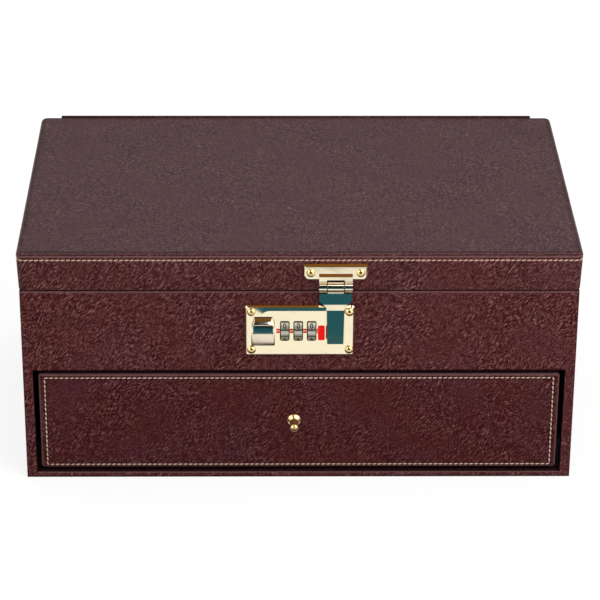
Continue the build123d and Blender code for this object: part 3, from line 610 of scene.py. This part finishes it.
# the six neighbours of a grid cell, each with the corners of the face towards it
cellFaces = [
    ((-1, 0, 0), ((0, 0, 0), (0, 0, 1), (0, 1, 1), (0, 1, 0))),
    ((1, 0, 0), ((1, 0, 0), (1, 1, 0), (1, 1, 1), (1, 0, 1))),
    ((0, -1, 0), ((0, 0, 0), (1, 0, 0), (1, 0, 1), (0, 0, 1))),
    ((0, 1, 0), ((0, 1, 0), (0, 1, 1), (1, 1, 1), (1, 1, 0))),
    ((0, 0, -1), ((0, 0, 0), (0, 1, 0), (1, 1, 0), (1, 0, 0))),
    ((0, 0, 1), ((0, 0, 1), (1, 0, 1), (1, 1, 1), (0, 1, 1))),
]


def solidCells(grid, filled):
    # the outer skin of the filled cells of an uneven grid
    def isFull(cell):
        if not all(0 <= i < len(stops) - 1 for i, stops in zip(cell, grid)):
            return False
        return filled(*((stops[i] + stops[i + 1]) / 2 for i, stops in zip(cell, grid)))

    def shifted(cell, step):
        return tuple(a + b for a, b in zip(cell, step))

    rings = []
    for cell in filter(isFull, product(*(range(len(stops) - 1) for stops in grid))):
        for step, corners in cellFaces:
            if not isFull(shifted(cell, step)):
                rings.append([shifted(cell, corner) for corner in corners])
    used = list(dict.fromkeys(corner for ring in rings for corner in ring))
    index = {corner: number for number, corner in enumerate(used)}
    points = [tuple(stops[i] for i, stops in zip(corner, grid)) for corner in used]
    return points, [tuple(index[corner] for corner in ring) for ring in rings]


def lathe(profile, centre, steps):
    # profile: (radius, distance towards the front) pairs, turned about a line along Y
    x, y, z = centre
    return skinRings([
        [(x + radius * math.cos(turn), y - reach, z + radius * math.sin(turn)) for turn in wheel(steps)]
        for radius, reach in profile
    ])


# case leather
case = {
    "halfWidth": 165.0,
    "halfDepth": 104.0,
    "height": 125.8,
    "thick": 3.0,
    "rim": 1.0,
    "roomHalf": 159.0,
    "roomEnds": (-91.0, 98.0),
    "opening": (-159.0, 159.0, 3.4, 72.6),
    # how far the leather turns over inside the opening: besides, below, above
    "turnedOver": (1.0, 0.4, 1.0),
    "grid": (
        [-165, -162, -160, -159, 159, 160, 162, 165],
        [-104, -101, -91, 98, 101, 104],
        [0, 3.0, 3.4, 72.6, 73.6, 124.8, 125.8],
    ),
    "cornerRound": 1.5,
    "openingRound": 1.1,
    "rimRound": 0.8,
    "footRound": 0.45,
}


def inCaseLeather(x, y, z):
    left, right, low, high = case["opening"]
    roomFront, roomBack = case["roomEnds"]
    if left < x < right and low < z < high and y < 0:
        return False
    if abs(x) > case["halfWidth"] - case["thick"] or abs(y) > case["halfDepth"] - case["thick"]:
        return True
    onRim = z > case["height"] - case["rim"]
    if onRim and (abs(x) > case["roomHalf"] or y < roomFront or y > roomBack):
        return True
    besides, below, above = case["turnedOver"]
    return y < roomFront and left - besides < x < right + besides and low - below < z < high + above


def caseRounding(*ends):
    # an edge's ends lie exactly on the grid once they are rounded
    a, b = ([round(value, 2) for value in end] for end in ends)
    left, right, low, high = case["opening"]
    inside = all(left <= x <= right and low <= z <= high for x, _, z in (a, b))
    along = (a[0] == b[0] and a[0] in (left, right)) or (a[2] == b[2] and a[2] in (low, high))
    if a[1] == b[1] == -case["halfDepth"] and inside and along:
        return case["openingRound"]
    onWalls = [(abs(x) == case["halfWidth"], abs(y) == case["halfDepth"]) for x, y, _ in (a, b)]
    if all(wide and deep for wide, deep in onWalls):
        return case["cornerRound"]
    if all(wide or deep for wide, deep in onWalls) and a[2] == b[2]:
        return {case["height"]: case["rimRound"], 0: case["footRound"]}.get(a[2], 0.0)
    return 0.0


caseSkin = addPiece("caseSkin", *solidCells(case["grid"], inCaseLeather), caseLeather, "case_leather",
                    "root", ["body_leather"])
bevelEdges(caseSkin, caseRounding)
print("case leather made")

# lid leather
lid = {
    "low": 126.1,
    "corner": 3.0,
    "leastCorner": 0.4,
    "slope": 1.0 / 24.6,
    "overhangSeam": 0.35,
    "stitchHeight": 146.05,
    "steps": (66, 42),
    # amount and sizes of the waviness, outwards and upwards
    "wave": (0.10, 38, 9),
    "lift": (0.12, 23),
    # (height, offset from the case's outline, share of the waviness)
    "profile": [
        (127.1, -6.0, 0), (126.4, -6.0, 0), (126.1, -5.7, 0), (126.1, -0.75, 0), (126.16, -0.25, 0.2),
        (126.4, 0.12, 0.4), (126.85, 0.33, 0.6), (128.5, 0.45, 1), (133.0, 0.63, 1), (140.0, 0.92, 1),
        (144.6, 1.10, 1), (145.3, 1.05, 0.8), (145.8, 0.82, 0.6), (146.2, 0.72, 0.5), (146.6, 0.82, 0.6),
        (147.1, 1.05, 0.8), (147.5, 1.10, 0.8), (147.8, 1.20, 0.8), (148.15, 1.27, 0.8), (148.5, 1.23, 0.8),
        (148.75, 1.08, 0.8), (148.95, 0.98, 0.6), (149.3, 0.88, 0.5), (149.8, 0.62, 0.4), (150.2, 0.15, 0.3),
        (150.45, -0.5, 0.2), (150.55, -1.2, 0.2), (150.58, -3.0, 0), (150.63, -8.0, 0), (150.7, -20.0, 0),
        (150.7, -60.0, 0), (150.7, -98.0, 0),
    ],
}


def lidOutline(offset, radius):
    wide, deep = case["halfWidth"] + offset, case["halfDepth"] + offset
    return roundedOutline(-wide, wide, -deep, deep, radius, *lid["steps"])


rings = []
wave, wide, tall = lid["wave"]
rise, size = lid["lift"]
for height, offset, share in lid["profile"]:
    ring = []
    for x, y in lidOutline(offset, max(lid["corner"] + offset, lid["leastCorner"])):
        stray = noise.noise(Vector((x / wide, y / wide, height / tall))) * wave * share
        lift = noise.noise(Vector((x / size, y / size, 7))) * rise * share
        if abs(x) * case["halfDepth"] > abs(y) * case["halfWidth"]:
            x -= math.copysign(stray, x)
        else:
            y -= math.copysign(stray, y)
        ring.append((x, y, height + lift))
    rings.append(ring)
addPiece("lidSkin", *skinRings(rings, closeFirst=False), lidLeather, "case_leather", "lid", ["lid_leather"])
print("lid leather made")

# drawer front leather
drawerFront = {
    "left": -156.0,
    "right": 156.0,
    "low": 6.9,
    "high": 70.5,
    "corner": 1.6,
    "stitchInset": (3.75, 3.75, 1.8, 2.7),
    "steps": (62, 13),
    # how the corner's radius shrinks, and the least one
    "cornerShrink": (0.6, 0.2, 0.4),
    # amount and size of the waviness, and where it starts
    "wave": (0.07, 24, 0.1),
    # (share of the way to the stitch line, further inset, depth)
    "profile": [
        (0.0, 0.0, -96.0), (0.0, 0.0, -102.2), (0.04, 0.0, -103.0), (0.12, 0.0, -103.6), (0.26, 0.0, -103.95),
        (0.42, 0.0, -104.08), (0.6, 0.0, -104.05), (0.78, 0.0, -103.86), (0.92, 0.0, -103.68),
        (1.0, 0.0, -103.62), (1.0, 0.3, -103.7), (1.0, 0.7, -103.9), (1.0, 1.3, -104.0), (1.0, 3.0, -104.02),
        (1.0, 9.0, -104.05), (1.0, 26.0, -104.05),
    ],
}


def drawerOutline(share, further, radius):
    insets = [share * inset + further for inset in drawerFront["stitchInset"]]
    left, right = drawerFront["left"] + insets[0], drawerFront["right"] - insets[1]
    low, high = drawerFront["low"] + insets[2], drawerFront["high"] - insets[3]
    return roundedOutline(left, right, low, high, radius, *drawerFront["steps"])


rings = []
wave, size, smoothTo = drawerFront["wave"]
byShare, byFurther, least = drawerFront["cornerShrink"]
for share, further, depth in drawerFront["profile"]:
    ring = []
    radius = max(drawerFront["corner"] - share * byShare - further * byFurther, least)
    for x, z in drawerOutline(share, further, radius):
        stray = noise.noise(Vector((x / size, 3.0, z / size))) * wave
        ring.append((x, depth + (stray if share > smoothTo else 0.0), z))
    rings.append(ring)
addPiece("drawerSkin", *skinRings(rings, closeFirst=False), drawerLeather, "case_leather", "drawer",
         ["drawer_front_leather"])
print("drawer leather made")

# stitching
stitch = {
    "pitch": 3.1,
    "length": 2.75,
    "radius": 0.42,
    "slant": 9.0,
    "dip": 0.36,
    "sides": 8,
    "lift": 0.05,
    "flatness": 0.8,
    # stray of the slant in degrees, and of the size
    "stray": (5, 0.12),
    "lidOffset": 0.80,
    "drawerFace": -103.68,
    "drawerCorner": 0.9,
    # (share of the length, share of the radius, share of the dip)
    "stations": [(-0.5, 0.35, -1.0), (-0.42, 0.75, -0.35), (-0.25, 1.0, 0.1), (0.0, 1.08, 0.22),
                 (0.25, 1.0, 0.1), (0.42, 0.75, -0.35), (0.5, 0.35, -1.0)],
}


def stitchRow(name, path, body):
    # path: (point, direction along, outward) triples, one for each stitch
    points, faces = [], []
    slantStray, sizeStray = stitch["stray"]
    for number, (point, along, outward) in enumerate(path):
        across = outward.cross(along).normalized()
        angle = math.radians(stitch["slant"] + slantStray * noise.noise(Vector((number * 0.71, 2.0, 5.0))))
        run = (along * math.cos(angle) + across * math.sin(angle)).normalized()
        side = outward.cross(run).normalized()
        size = 1 + sizeStray * noise.noise(Vector((number * 1.3, 9.0, 1.0)))
        swings = [side * math.cos(turn) + outward * math.sin(turn) * stitch["flatness"]
                  for turn in wheel(stitch["sides"])]
        rings = []
        for place, thickness, lift in stitch["stations"]:
            centre = point + run * (place * stitch["length"] * size) + outward * (lift * stitch["dip"])
            rings.append([centre + swing * (stitch["radius"] * thickness) for swing in swings])
        merge(points, faces, skinRings(rings))
    addPiece(name, points, faces, thread, "case_leather", body)


def alongOutline(loop, outwardOf):
    # evenly spaced stitches round a closed line
    legs = list(zip(loop, loop[1:] + loop[:1]))
    lengths = [(b - a).length for a, b in legs]
    count = round(sum(lengths) / stitch["pitch"])
    pitch = sum(lengths) / count
    path, walked, leg = [], 0.0, 0
    for number in range(count):
        goal = number * pitch
        while walked + lengths[leg] < goal:
            walked += lengths[leg]
            leg += 1
        a, b = legs[leg]
        place = a + (b - a) * ((goal - walked) / lengths[leg])
        direction = (b - a).normalized()
        outward = outwardOf(direction)
        path.append((place + outward * stitch["lift"], direction, outward))
    return path


outline = lidOutline(stitch["lidOffset"], lid["corner"] + stitch["lidOffset"])
lidRow = alongOutline([Vector((x, y, lid["stitchHeight"])) for x, y in outline],
                      lambda direction: Vector((direction.y, -direction.x, 0)))
stitchRow("lidStitches", lidRow, "lid")
outline = drawerOutline(1.0, 0.0, stitch["drawerCorner"])
drawerRow = alongOutline([Vector((x, stitch["drawerFace"], z)) for x, z in outline],
                         lambda direction: Vector((0, -1, 0)))
stitchRow("drawerStitches", drawerRow, "drawer")
print("stitches made:", len(lidRow), "and", len(drawerRow))

# leather spine strip on the back
spine = {
    "halfWidth": 153.4,
    "thick": 1.2,
    "gap": 0.03,
    "side": 0.15,
    "heights": [95.8, 96.0, 97.0, 104.0, 112.0, 119.0, 123.0, 124.4, *(125.0 + 0.2 * i for i in range(12)),
                127.8, 129.0, 133.0, 139.0, 145.0, 149.5, 150.9, 151.1],
    # how far the ends are rounded off, by height
    "rounded": {95.8: 0.45, 96.0: 0.15, 150.9: 0.15, 151.1: 0.45},
    # where the strip bends free of the case, and how far back it stays there
    "bend": (125.5, 127.3, 104.12),
    "stepsOut": 125.6,
}


def backFace(z):
    if z < lid["low"]:
        return case["halfDepth"]
    return case["halfDepth"] + lid["overhangSeam"] + lid["slope"] * (z - lid["low"])


rings = []
bendLow, bendHigh, bendDepth = spine["bend"]
side = spine["side"]
for z in spine["heights"]:
    edge = spine["rounded"].get(z, 0.0)
    inner = backFace(z) + spine["gap"]
    if bendLow < z < bendHigh:
        inner = max(inner, bendDepth)
    outer = backFace(max(z, lid["low"]) if z > spine["stepsOut"] else z) + spine["thick"]
    face = outer - edge
    half = spine["halfWidth"] - edge * 0.6
    rings.append([
        (-half, inner, z), (half, inner, z), (half, outer - 0.5, z), (half - side, face - side, z),
        (half - 0.6, face, z), (half - 8, face, z), (half / 3, face, z), (-half / 3, face, z),
        (8 - half, face, z), (0.6 - half, face, z), (side - half, face - side, z), (-half, outer - 0.5, z),
    ])
spineStrip = addPiece("spineStrip", *skinRings(rings), spineLeather, "spine_leather", None,
                      ["body_spine_flap", "lid_spine_flap"])
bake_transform(spineStrip)
print("spine strip made")

# lock hardware
rivets = {
    "sides": 32,
    "lock": [(-28.55, -106.8, 88.4), (-28.55, -106.8, 113.3), (29.4, -106.8, 88.4), (29.4, -106.8, 113.3)],
    "hasp": [(6.4, -107.54, 139.15), (35.7, -107.54, 139.15)],
    "profile": [(0.02, -1.2), (2.3, -1.2), (2.65, 0.0), (2.65, 0.12), (2.58, 0.42), (2.38, 0.82), (2.04, 1.2),
                (1.58, 1.5), (1.07, 1.7), (0.5, 1.8), (0.02, 1.82)],
}


def rivetHeads(name, places, body, replaced):
    points, faces = [], []
    for place in places:
        merge(points, faces, lathe(rivets["profile"], place, rivets["sides"]))
    addPiece(name, points, faces, warmBrass, "brass", body, replaced)


rivetHeads("lockRivetHeads", rivets["lock"], "root", ["lock_rivets"])
rivetHeads("haspRivetHeads", rivets["hasp"], "lid", ["hasp_rivets"])

knob = {
    "centre": (-3.0, -104.0, 39.5),
    "sides": 48,
    "profile": [(0.02, -1.5), (3.9, -1.5), (4.15, 0.1), (4.15, 0.7), (4.05, 1.0), (3.8, 1.25), (3.3, 1.6),
                (2.6, 2.15), (2.05, 2.9), (1.72, 3.8), (1.55, 4.8), (1.5, 5.6), (1.52, 6.4), (1.62, 6.75)],
    "ball": {"reach": 9.33, "radius": 2.85, "from": 146, "steps": 14, "least": 0.02},
}
ball = knob["ball"]
for i in range(ball["steps"] + 1):
    turn = math.radians(ball["from"] - ball["from"] * i / ball["steps"])
    ringRadius = max(ball["radius"] * math.sin(turn), ball["least"])
    knob["profile"].append((ringRadius, ball["reach"] + ball["radius"] * math.cos(turn)))
addPiece("drawerKnob", *lathe(knob["profile"], knob["centre"], knob["sides"]), warmBrass, "brass", "drawer",
         ["knob"])

button = {
    "middle": -21.65,
    "low": 91.5,
    "behindFront": 4.2,
    "foot": 0.3,
    "crease": 35,
    # (reach from the plate, height, half of the width, how far the ends droop)
    "profile": [
        (0.0, 18.3, 5.45, 0.0), (0.0, 0.0, 6.9, 0.0), (0.7, 0.0, 6.9, 0.0), (0.88, 0.12, 6.95, 0.0),
        (0.93, 0.3, 7.0, 0.0), (1.05, 7.3, 7.0, 0.0), (1.08, 7.5, 6.95, 0.0), (1.06, 7.75, 6.4, 0.0),
        (0.85, 10.7, 6.35, 0.0), (0.79, 10.95, 6.35, 0.0), (0.12, 12.9, 6.35, 0.3), (3.3, 14.3, 6.9, 1.3),
        (3.68, 14.6, 7.0, 1.4), (3.75, 14.8, 7.0, 1.4), (3.75, 15.4, 7.0, 1.4), (3.62, 15.65, 6.8, 1.3),
        (0.85, 18.05, 5.6, 0.0), (0.6, 18.3, 5.5, 0.0),
    ],
    # (share of the half width, share of the reach, share of the droop)
    "stations": [(1.0, 0.30, 1.0), (0.985, 0.75, 0.9), (0.95, 0.95, 0.72), (0.88, 1.0, 0.40),
                 (0.75, 1.0, 0.12), (0.4, 1.0, 0.0)],
}
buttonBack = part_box("thumb_button")[0].y / mm + button["behindFront"]
rings = []
mirrored = [(-share, *rest) for share, *rest in button["stations"]]
for share, reach, droop in mirrored + button["stations"][::-1]:
    rings.append([(
        button["middle"] + share * half,
        buttonBack - out * (reach if out > button["foot"] else 1.0),
        button["low"] + rise - down * droop,
    ) for out, rise, half, down in button["profile"]])
thumbPiece = addPiece("thumbButton", *skinRings(rings), buttonGold, "gold_plate", "thumb_slide",
                      ["thumb_button"])
thumbPiece.data.set_sharp_from_angle(angle=math.radians(button["crease"]))

stripes = {
    "runs": [(-13.8, -11.75), (-5.85, -3.8), (2.1, 4.15), (10.05, 10.75)],
    "heights": (100.05, 101.65),
    "half": 0.70,
    "face": -106.8,
    # (share of the half height, distance behind the plate's face)
    "bulge": [(-1.0, 0.18), (-0.9, -0.01), (-0.5, -0.05), (0.0, -0.06), (0.5, -0.05), (0.9, -0.01),
              (1.0, 0.18)],
}
points, faces = [], []
for ends in stripes["runs"]:
    for z in stripes["heights"]:
        merge(points, faces, skinRings([
            [(x, stripes["face"] + behind, z + stripes["half"] * share) for share, behind in stripes["bulge"]]
            for x in ends
        ]))
addPiece("redLines", points, faces, redEnamel, "red_enamel", "root")

dials = {
    "places": (-8.8, -0.85, 7.1),
    "middle": (-101.1, 100.85),
    "radius": 8.0,
    "size": 3.3,
    "first": 29.0,
    "pitch": 36,
    "layers": (-0.05, 0.03),
    "fontShare": 1.38,
    "bold": 0.09,
    "narrow": 0.92,
}


def digitMesh(text):
    curve = bpy.data.curves.new("digit" + text, "FONT")
    curve.body = text
    curve.size = dials["size"] * dials["fontShare"]
    curve.align_x = "CENTER"
    curve.align_y = "CENTER"
    curve.resolution_u = 6
    curve.offset = dials["bold"]
    holder = placed("digit", curve)
    bpy.context.view_layer.update()
    mesh = bpy.data.meshes.new_from_object(holder.evaluated_get(bpy.context.evaluated_depsgraph_get()))
    flat = [vertex.co.copy() for vertex in mesh.vertices]
    shapes = [tuple(polygon.vertices) for polygon in mesh.polygons]
    bpy.data.objects.remove(holder)
    bpy.data.curves.remove(curve)
    bpy.data.meshes.remove(mesh)
    low, high = (Vector([pick(point[axis] for point in flat) for axis in range(3)]) for pick in (min, max))
    scale = dials["size"] / (high.y - low.y)
    return [(point - (low + high) / 2) * scale for point in flat], shapes


digitShapes = [digitMesh(str(number)) for number in range(10)]
y, z = dials["middle"]
for dial, x in enumerate(dials["places"], 1):
    points, faces = [], []
    for number, (flat, shapes) in enumerate(digitShapes):
        middle = math.radians(dials["first"] - dials["pitch"] * number)
        for layer, lift in enumerate(dials["layers"]):
            start = len(points)
            reach = dials["radius"] + lift
            for point in flat:
                angle = middle + point.y / dials["radius"]
                wide = point.x * dials["narrow"]
                points.append((x + wide, y - reach * math.cos(angle), z + reach * math.sin(angle)))
            faces += [tuple(v + start for v in (shape if layer else shape[::-1])) for shape in shapes]
        upper, lower = start, start - len(flat)
        edges = dict.fromkeys(pair for shape in shapes for pair in zip(shape, shape[1:] + shape[:1]))
        faces += [(lower + a, lower + b, upper + b, upper + a) for a, b in edges if (b, a) not in edges]
    addPiece(f"digits{dial}", points, faces, digitInk, "nickel", f"dial_{dial}")
print("lock hardware made")

# watch cushions
cushion = {
    "shrink": (0.90, 0.93, 0.92),
    "round": 7,
    "voxel": 5.0,
    "pressure": 4.0,
    "frames": 20,
    "clear": 0.4,
    # how far the top falls off towards the sides and the ends
    "crown": (0.16, 0.05),
    "rumple": (0.5, 13),
    "fill": 0.75,
    "piping": 0.55,
    "pipingAt": 0.74,
    "pipingSpots": 72,
    "pipingSides": 8,
}


def paddedMaster(half):
    # one stuffed cushion about the origin, swollen by cloth pressure and kept inside its slot
    start = bmesh.new()
    bmesh.ops.create_cube(start, size=2.0)
    for vertex in start.verts:
        vertex.co = Vector([a * b * c for a, b, c in zip(vertex.co, half, cushion["shrink"])])
    offset = cushion["round"] * mm
    bmesh.ops.bevel(start, geom=start.edges[:], offset=offset, segments=4, affect="EDGES", profile=0.5)
    mesh = bpy.data.meshes.new("cushionForm")
    start.to_mesh(mesh)
    start.free()
    form = placed("cushionForm", mesh)
    remesh = form.modifiers.new("evenMesh", "REMESH")
    remesh.mode = "VOXEL"
    remesh.voxel_size = cushion["voxel"] * mm
    cloth = form.modifiers.new("swell", "CLOTH")
    cloth.settings.use_pressure = True
    cloth.settings.uniform_pressure_force = cushion["pressure"]
    cloth.settings.effector_weights.gravity = 0.0
    cloth.settings.quality = 6
    cloth.point_cache.frame_end = cushion["frames"]
    for moment in range(1, cushion["frames"] + 1):
        scene.frame_set(moment)
    graph = bpy.context.evaluated_depsgraph_get()
    swollen = bpy.data.meshes.new_from_object(form.evaluated_get(graph))
    bpy.data.objects.remove(form)
    scene.frame_set(1)
    limit = half - Vector([cushion["clear"]] * 3) * mm
    toSides, toEnds = cushion["crown"]
    for vertex in swollen.vertices:
        co = vertex.co
        crown = 1 - toSides * (co.y / half.y) ** 2 - toEnds * (co.x / half.x) ** 4
        tops = (limit.x, limit.y, limit.z * crown if co.z > 0 else limit.z)
        vertex.co = Vector([max(-low, min(high, value)) for value, low, high in zip(co, limit, tops)])
    return swollen


def sewnEdge(mesh, half, side):
    # piping round one end, lying on the cushion's surface
    tree = BVHTree.FromPolygons([v.co for v in mesh.vertices], [tuple(p.vertices) for p in mesh.polygons])
    out = Vector((1, 0, 0))
    middle = out * (side * half.x * cushion["pipingAt"])
    spots, rings = [], []
    for turn in wheel(cushion["pipingSpots"]):
        away = Vector((0, math.cos(turn), math.sin(turn)))
        spots.append(tree.ray_cast(middle + away * 0.2, -away)[0])
    for i, spot in enumerate(spots):
        along = (spots[(i + 1) % len(spots)] - spots[i - 1]).normalized()
        other = along.cross(out).normalized()
        rings.append([(spot + (out * math.cos(turn) + other * math.sin(turn)) * cushion["piping"] * mm) / mm
                      for turn in wheel(cushion["pipingSides"])])
    return skinRings([*rings, rings[0]], False, False)


low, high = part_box("watch_cushion_1")
half = (high - low) / 2
master = paddedMaster(half)
pipes = [sewnEdge(master, half, side) for side in (-1, 1)]
rumple, size = cushion["rumple"]
for number in range(1, 13):
    low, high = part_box(f"watch_cushion_{number}")
    middle = (low + high) / 2
    mesh = master.copy()
    drift = Vector((number * 3.1, 1.7, 0))
    for vertex in mesh.vertices:
        dent = noise.noise(vertex.co / (size * mm) + drift) * rumple * mm
        vertex.co = vertex.co * (1 - abs(dent) / half.z) + middle
    piece = addMesh(f"cushion{number}", mesh, cushionSuede, "root",
                    [f"watch_cushion_{number}"])
    smooth = piece.modifiers.new("softer", "SUBSURF")
    smooth.levels = smooth.render_levels = 1
    for side, (points, faces) in zip(("Left", "Right"), pipes):
        moved = [Vector(point) + middle / mm for point in points]
        addPiece(f"cushion{number}{side}Piping", moved, faces, cushionSuede, "cushion_suede", "root")
print("cushions made")

# camera, lights and floor
view = {
    "place": (-0.021, -1.513, 0.812),
    "pitch": 26.16,
    "yaw": 0.86,
    "roll": -0.34,
    "lens": 159.84,
    "sensor": 36.0,
    "nearest": 0.05,
}
pitch, yaw, roll = (math.radians(view[name]) for name in ("pitch", "yaw", "roll"))
forward = Vector((math.sin(yaw) * math.cos(pitch), math.cos(yaw) * math.cos(pitch), -math.sin(pitch)))
right = Vector((math.cos(yaw), -math.sin(yaw), 0))
down = forward.cross(right)
across = right * math.cos(roll) + down * math.sin(roll)
downward = down * math.cos(roll) - right * math.sin(roll)
lens = bpy.data.cameras.new("camera")
lens.lens = view["lens"]
lens.sensor_width = view["sensor"]
lens.clip_start = view["nearest"]
camera = placed("camera", lens)
axes = Matrix((across, -downward, -forward)).transposed()
camera.matrix_world = Matrix.Translation(view["place"]) @ axes.to_4x4()
scene.camera = camera

white = (1.0, 1.0, 1.0, 1.0)
studio = {
    # the world's strength for plain light and for gloss
    "strengths": (0.52, 0.85),
    "tint": (1.0, 0.985, 0.965, 1.0),
    "lamps": [
        # name, place, size, power
        ("overheadBack", (0.1, 0.55, 1.5), (1.5, 1.1), 6.0),
        ("leftFill", (-1.5, -1.1, 1.0), (1.0, 1.0), 8.0),
        ("rightFill", (1.5, -1.0, 0.9), (0.9, 0.9), 7.0),
        ("sparkle", (0.312, -0.569, 0.602), (0.55, 0.45), 2.2),
    ],
    "aim": (0, 0, 0.07),
}
for name, place, size, power in studio["lamps"]:
    lamp = bpy.data.lights.new(name, "AREA")
    lamp.shape = "RECTANGLE"
    lamp.size, lamp.size_y = size
    lamp.energy = power
    holder = placed(name, lamp)
    holder.location = place
    holder.rotation_euler = (Vector(studio["aim"]) - Vector(place)).to_track_quat("-Z", "Y").to_euler()

scene.world = bpy.data.worlds.new("studio")
scene.world.use_nodes = True
sky = Graph(scene.world.node_tree)
plain, glossed = (sky.node("ShaderNodeBackground", None, {0: studio["tint"], 1: strength})
                  for strength in studio["strengths"])
seen = sky.node("ShaderNodeBackground", None, {0: white, 1: 1.0})
lit = sky.either(sky.reflected(), plain, glossed)
sky.node("ShaderNodeOutputWorld", None, {0: sky.either(sky.rays("Is Camera Ray"), lit, seen)})


def flatPiece(name, plan, finish):
    half, front, back, height = plan
    corners = [(-half, front), (half, front), (half, back), (-half, back)]
    return addPiece(name, [(x, y, height) for x, y in corners], [(0, 1, 2, 3)], finish.material, "board")


def onlyGlossSees(piece):
    for way in ("camera", "diffuse", "shadow", "transmission"):
        setattr(piece, "visible_" + way, False)


paper = {
    "colour": (0.78, 0.78, 0.78),
    "glow": 1.25,
    "share": 0.62,
    "mirrored": 1.0,
    # half of the width, front, back, height
    "plan": (6000, -6000, 6000, -0.25),
}
floorFinish = Finish("floorPaper", roughness=0.9, specular=0.0, baseColor=paper["colour"])
looking = floorFinish.rays("Is Camera Ray")
strength = paper["mirrored"] + looking * (paper["glow"] - paper["mirrored"])
shown = (looking * paper["share"]).atLeast(floorFinish.reflected())
floorFinish.show(floorFinish.either(shown, floorFinish.surface, floorFinish.glow(white, strength)))
floor = flatPiece("floor", paper["plan"], floorFinish)

# a dark, glowing card and canopy in front of the box, which only polished metal and gloss see; its teal,
# black and brown bands are painted reflections for the metal
card = {
    # (y, z, half of the width)
    "profile": [(-412, 0, 130), (-412, 150, 140), (-750, 670, 290), (-1300, 1500, 560), (-1300, 1600, 580),
                (-900, 1600, 580), (-500, 1600, 580), (-100, 1600, 580)],
    "low": (0.018, 0.099, 0.150),
    "middle": (0.008, 0.009, 0.008),
    "top": (0.20, 0.085, 0.016),
    "middleFrom": (0.125, 0.165),
    "overhead": (1.4, 1.55),
    "topFrom": (-1.3, -0.75),
}
cardFinish = Finish("darkCard", roughness=1.0)
_, near, up = cardFinish.split(cardFinish.place())
cardTone = cardFinish.blendColour(up.ramp(*card["middleFrom"]), card["low"], card["middle"])
overhead = up.ramp(*card["overhead"]) * near.ramp(*card["topFrom"])
cardTone = cardFinish.blendColour(overhead, cardTone, card["top"])
cardFinish.show(cardFinish.glow(cardTone))
points = [(side * wide, y, z) for y, z, wide in card["profile"] for side in (-1, 1)]
faces = [(2 * i, 2 * i + 1, 2 * i + 3, 2 * i + 2) for i in range(len(card["profile"]) - 1)]
canopy = addPiece("card", points, faces, cardFinish.material, "board")
onlyGlossSees(canopy)

# a dark, glowing sheet on the table at the box's foot, seen in the same way, which paints a dark reflection
# into the metal's lower faces
footSheet = {"plan": (260, -212, -112, 0.4), "tone": (0.030, 0.022, 0.018, 1.0)}
sheetFinish = Finish("footSheet", roughness=1.0)
sheetFinish.show(sheetFinish.glow(footSheet["tone"]))
sheet = flatPiece("footSheet", footSheet["plan"], sheetFinish)
onlyGlossSees(sheet)

scene.view_settings.view_transform = "Standard"
print("scene made")
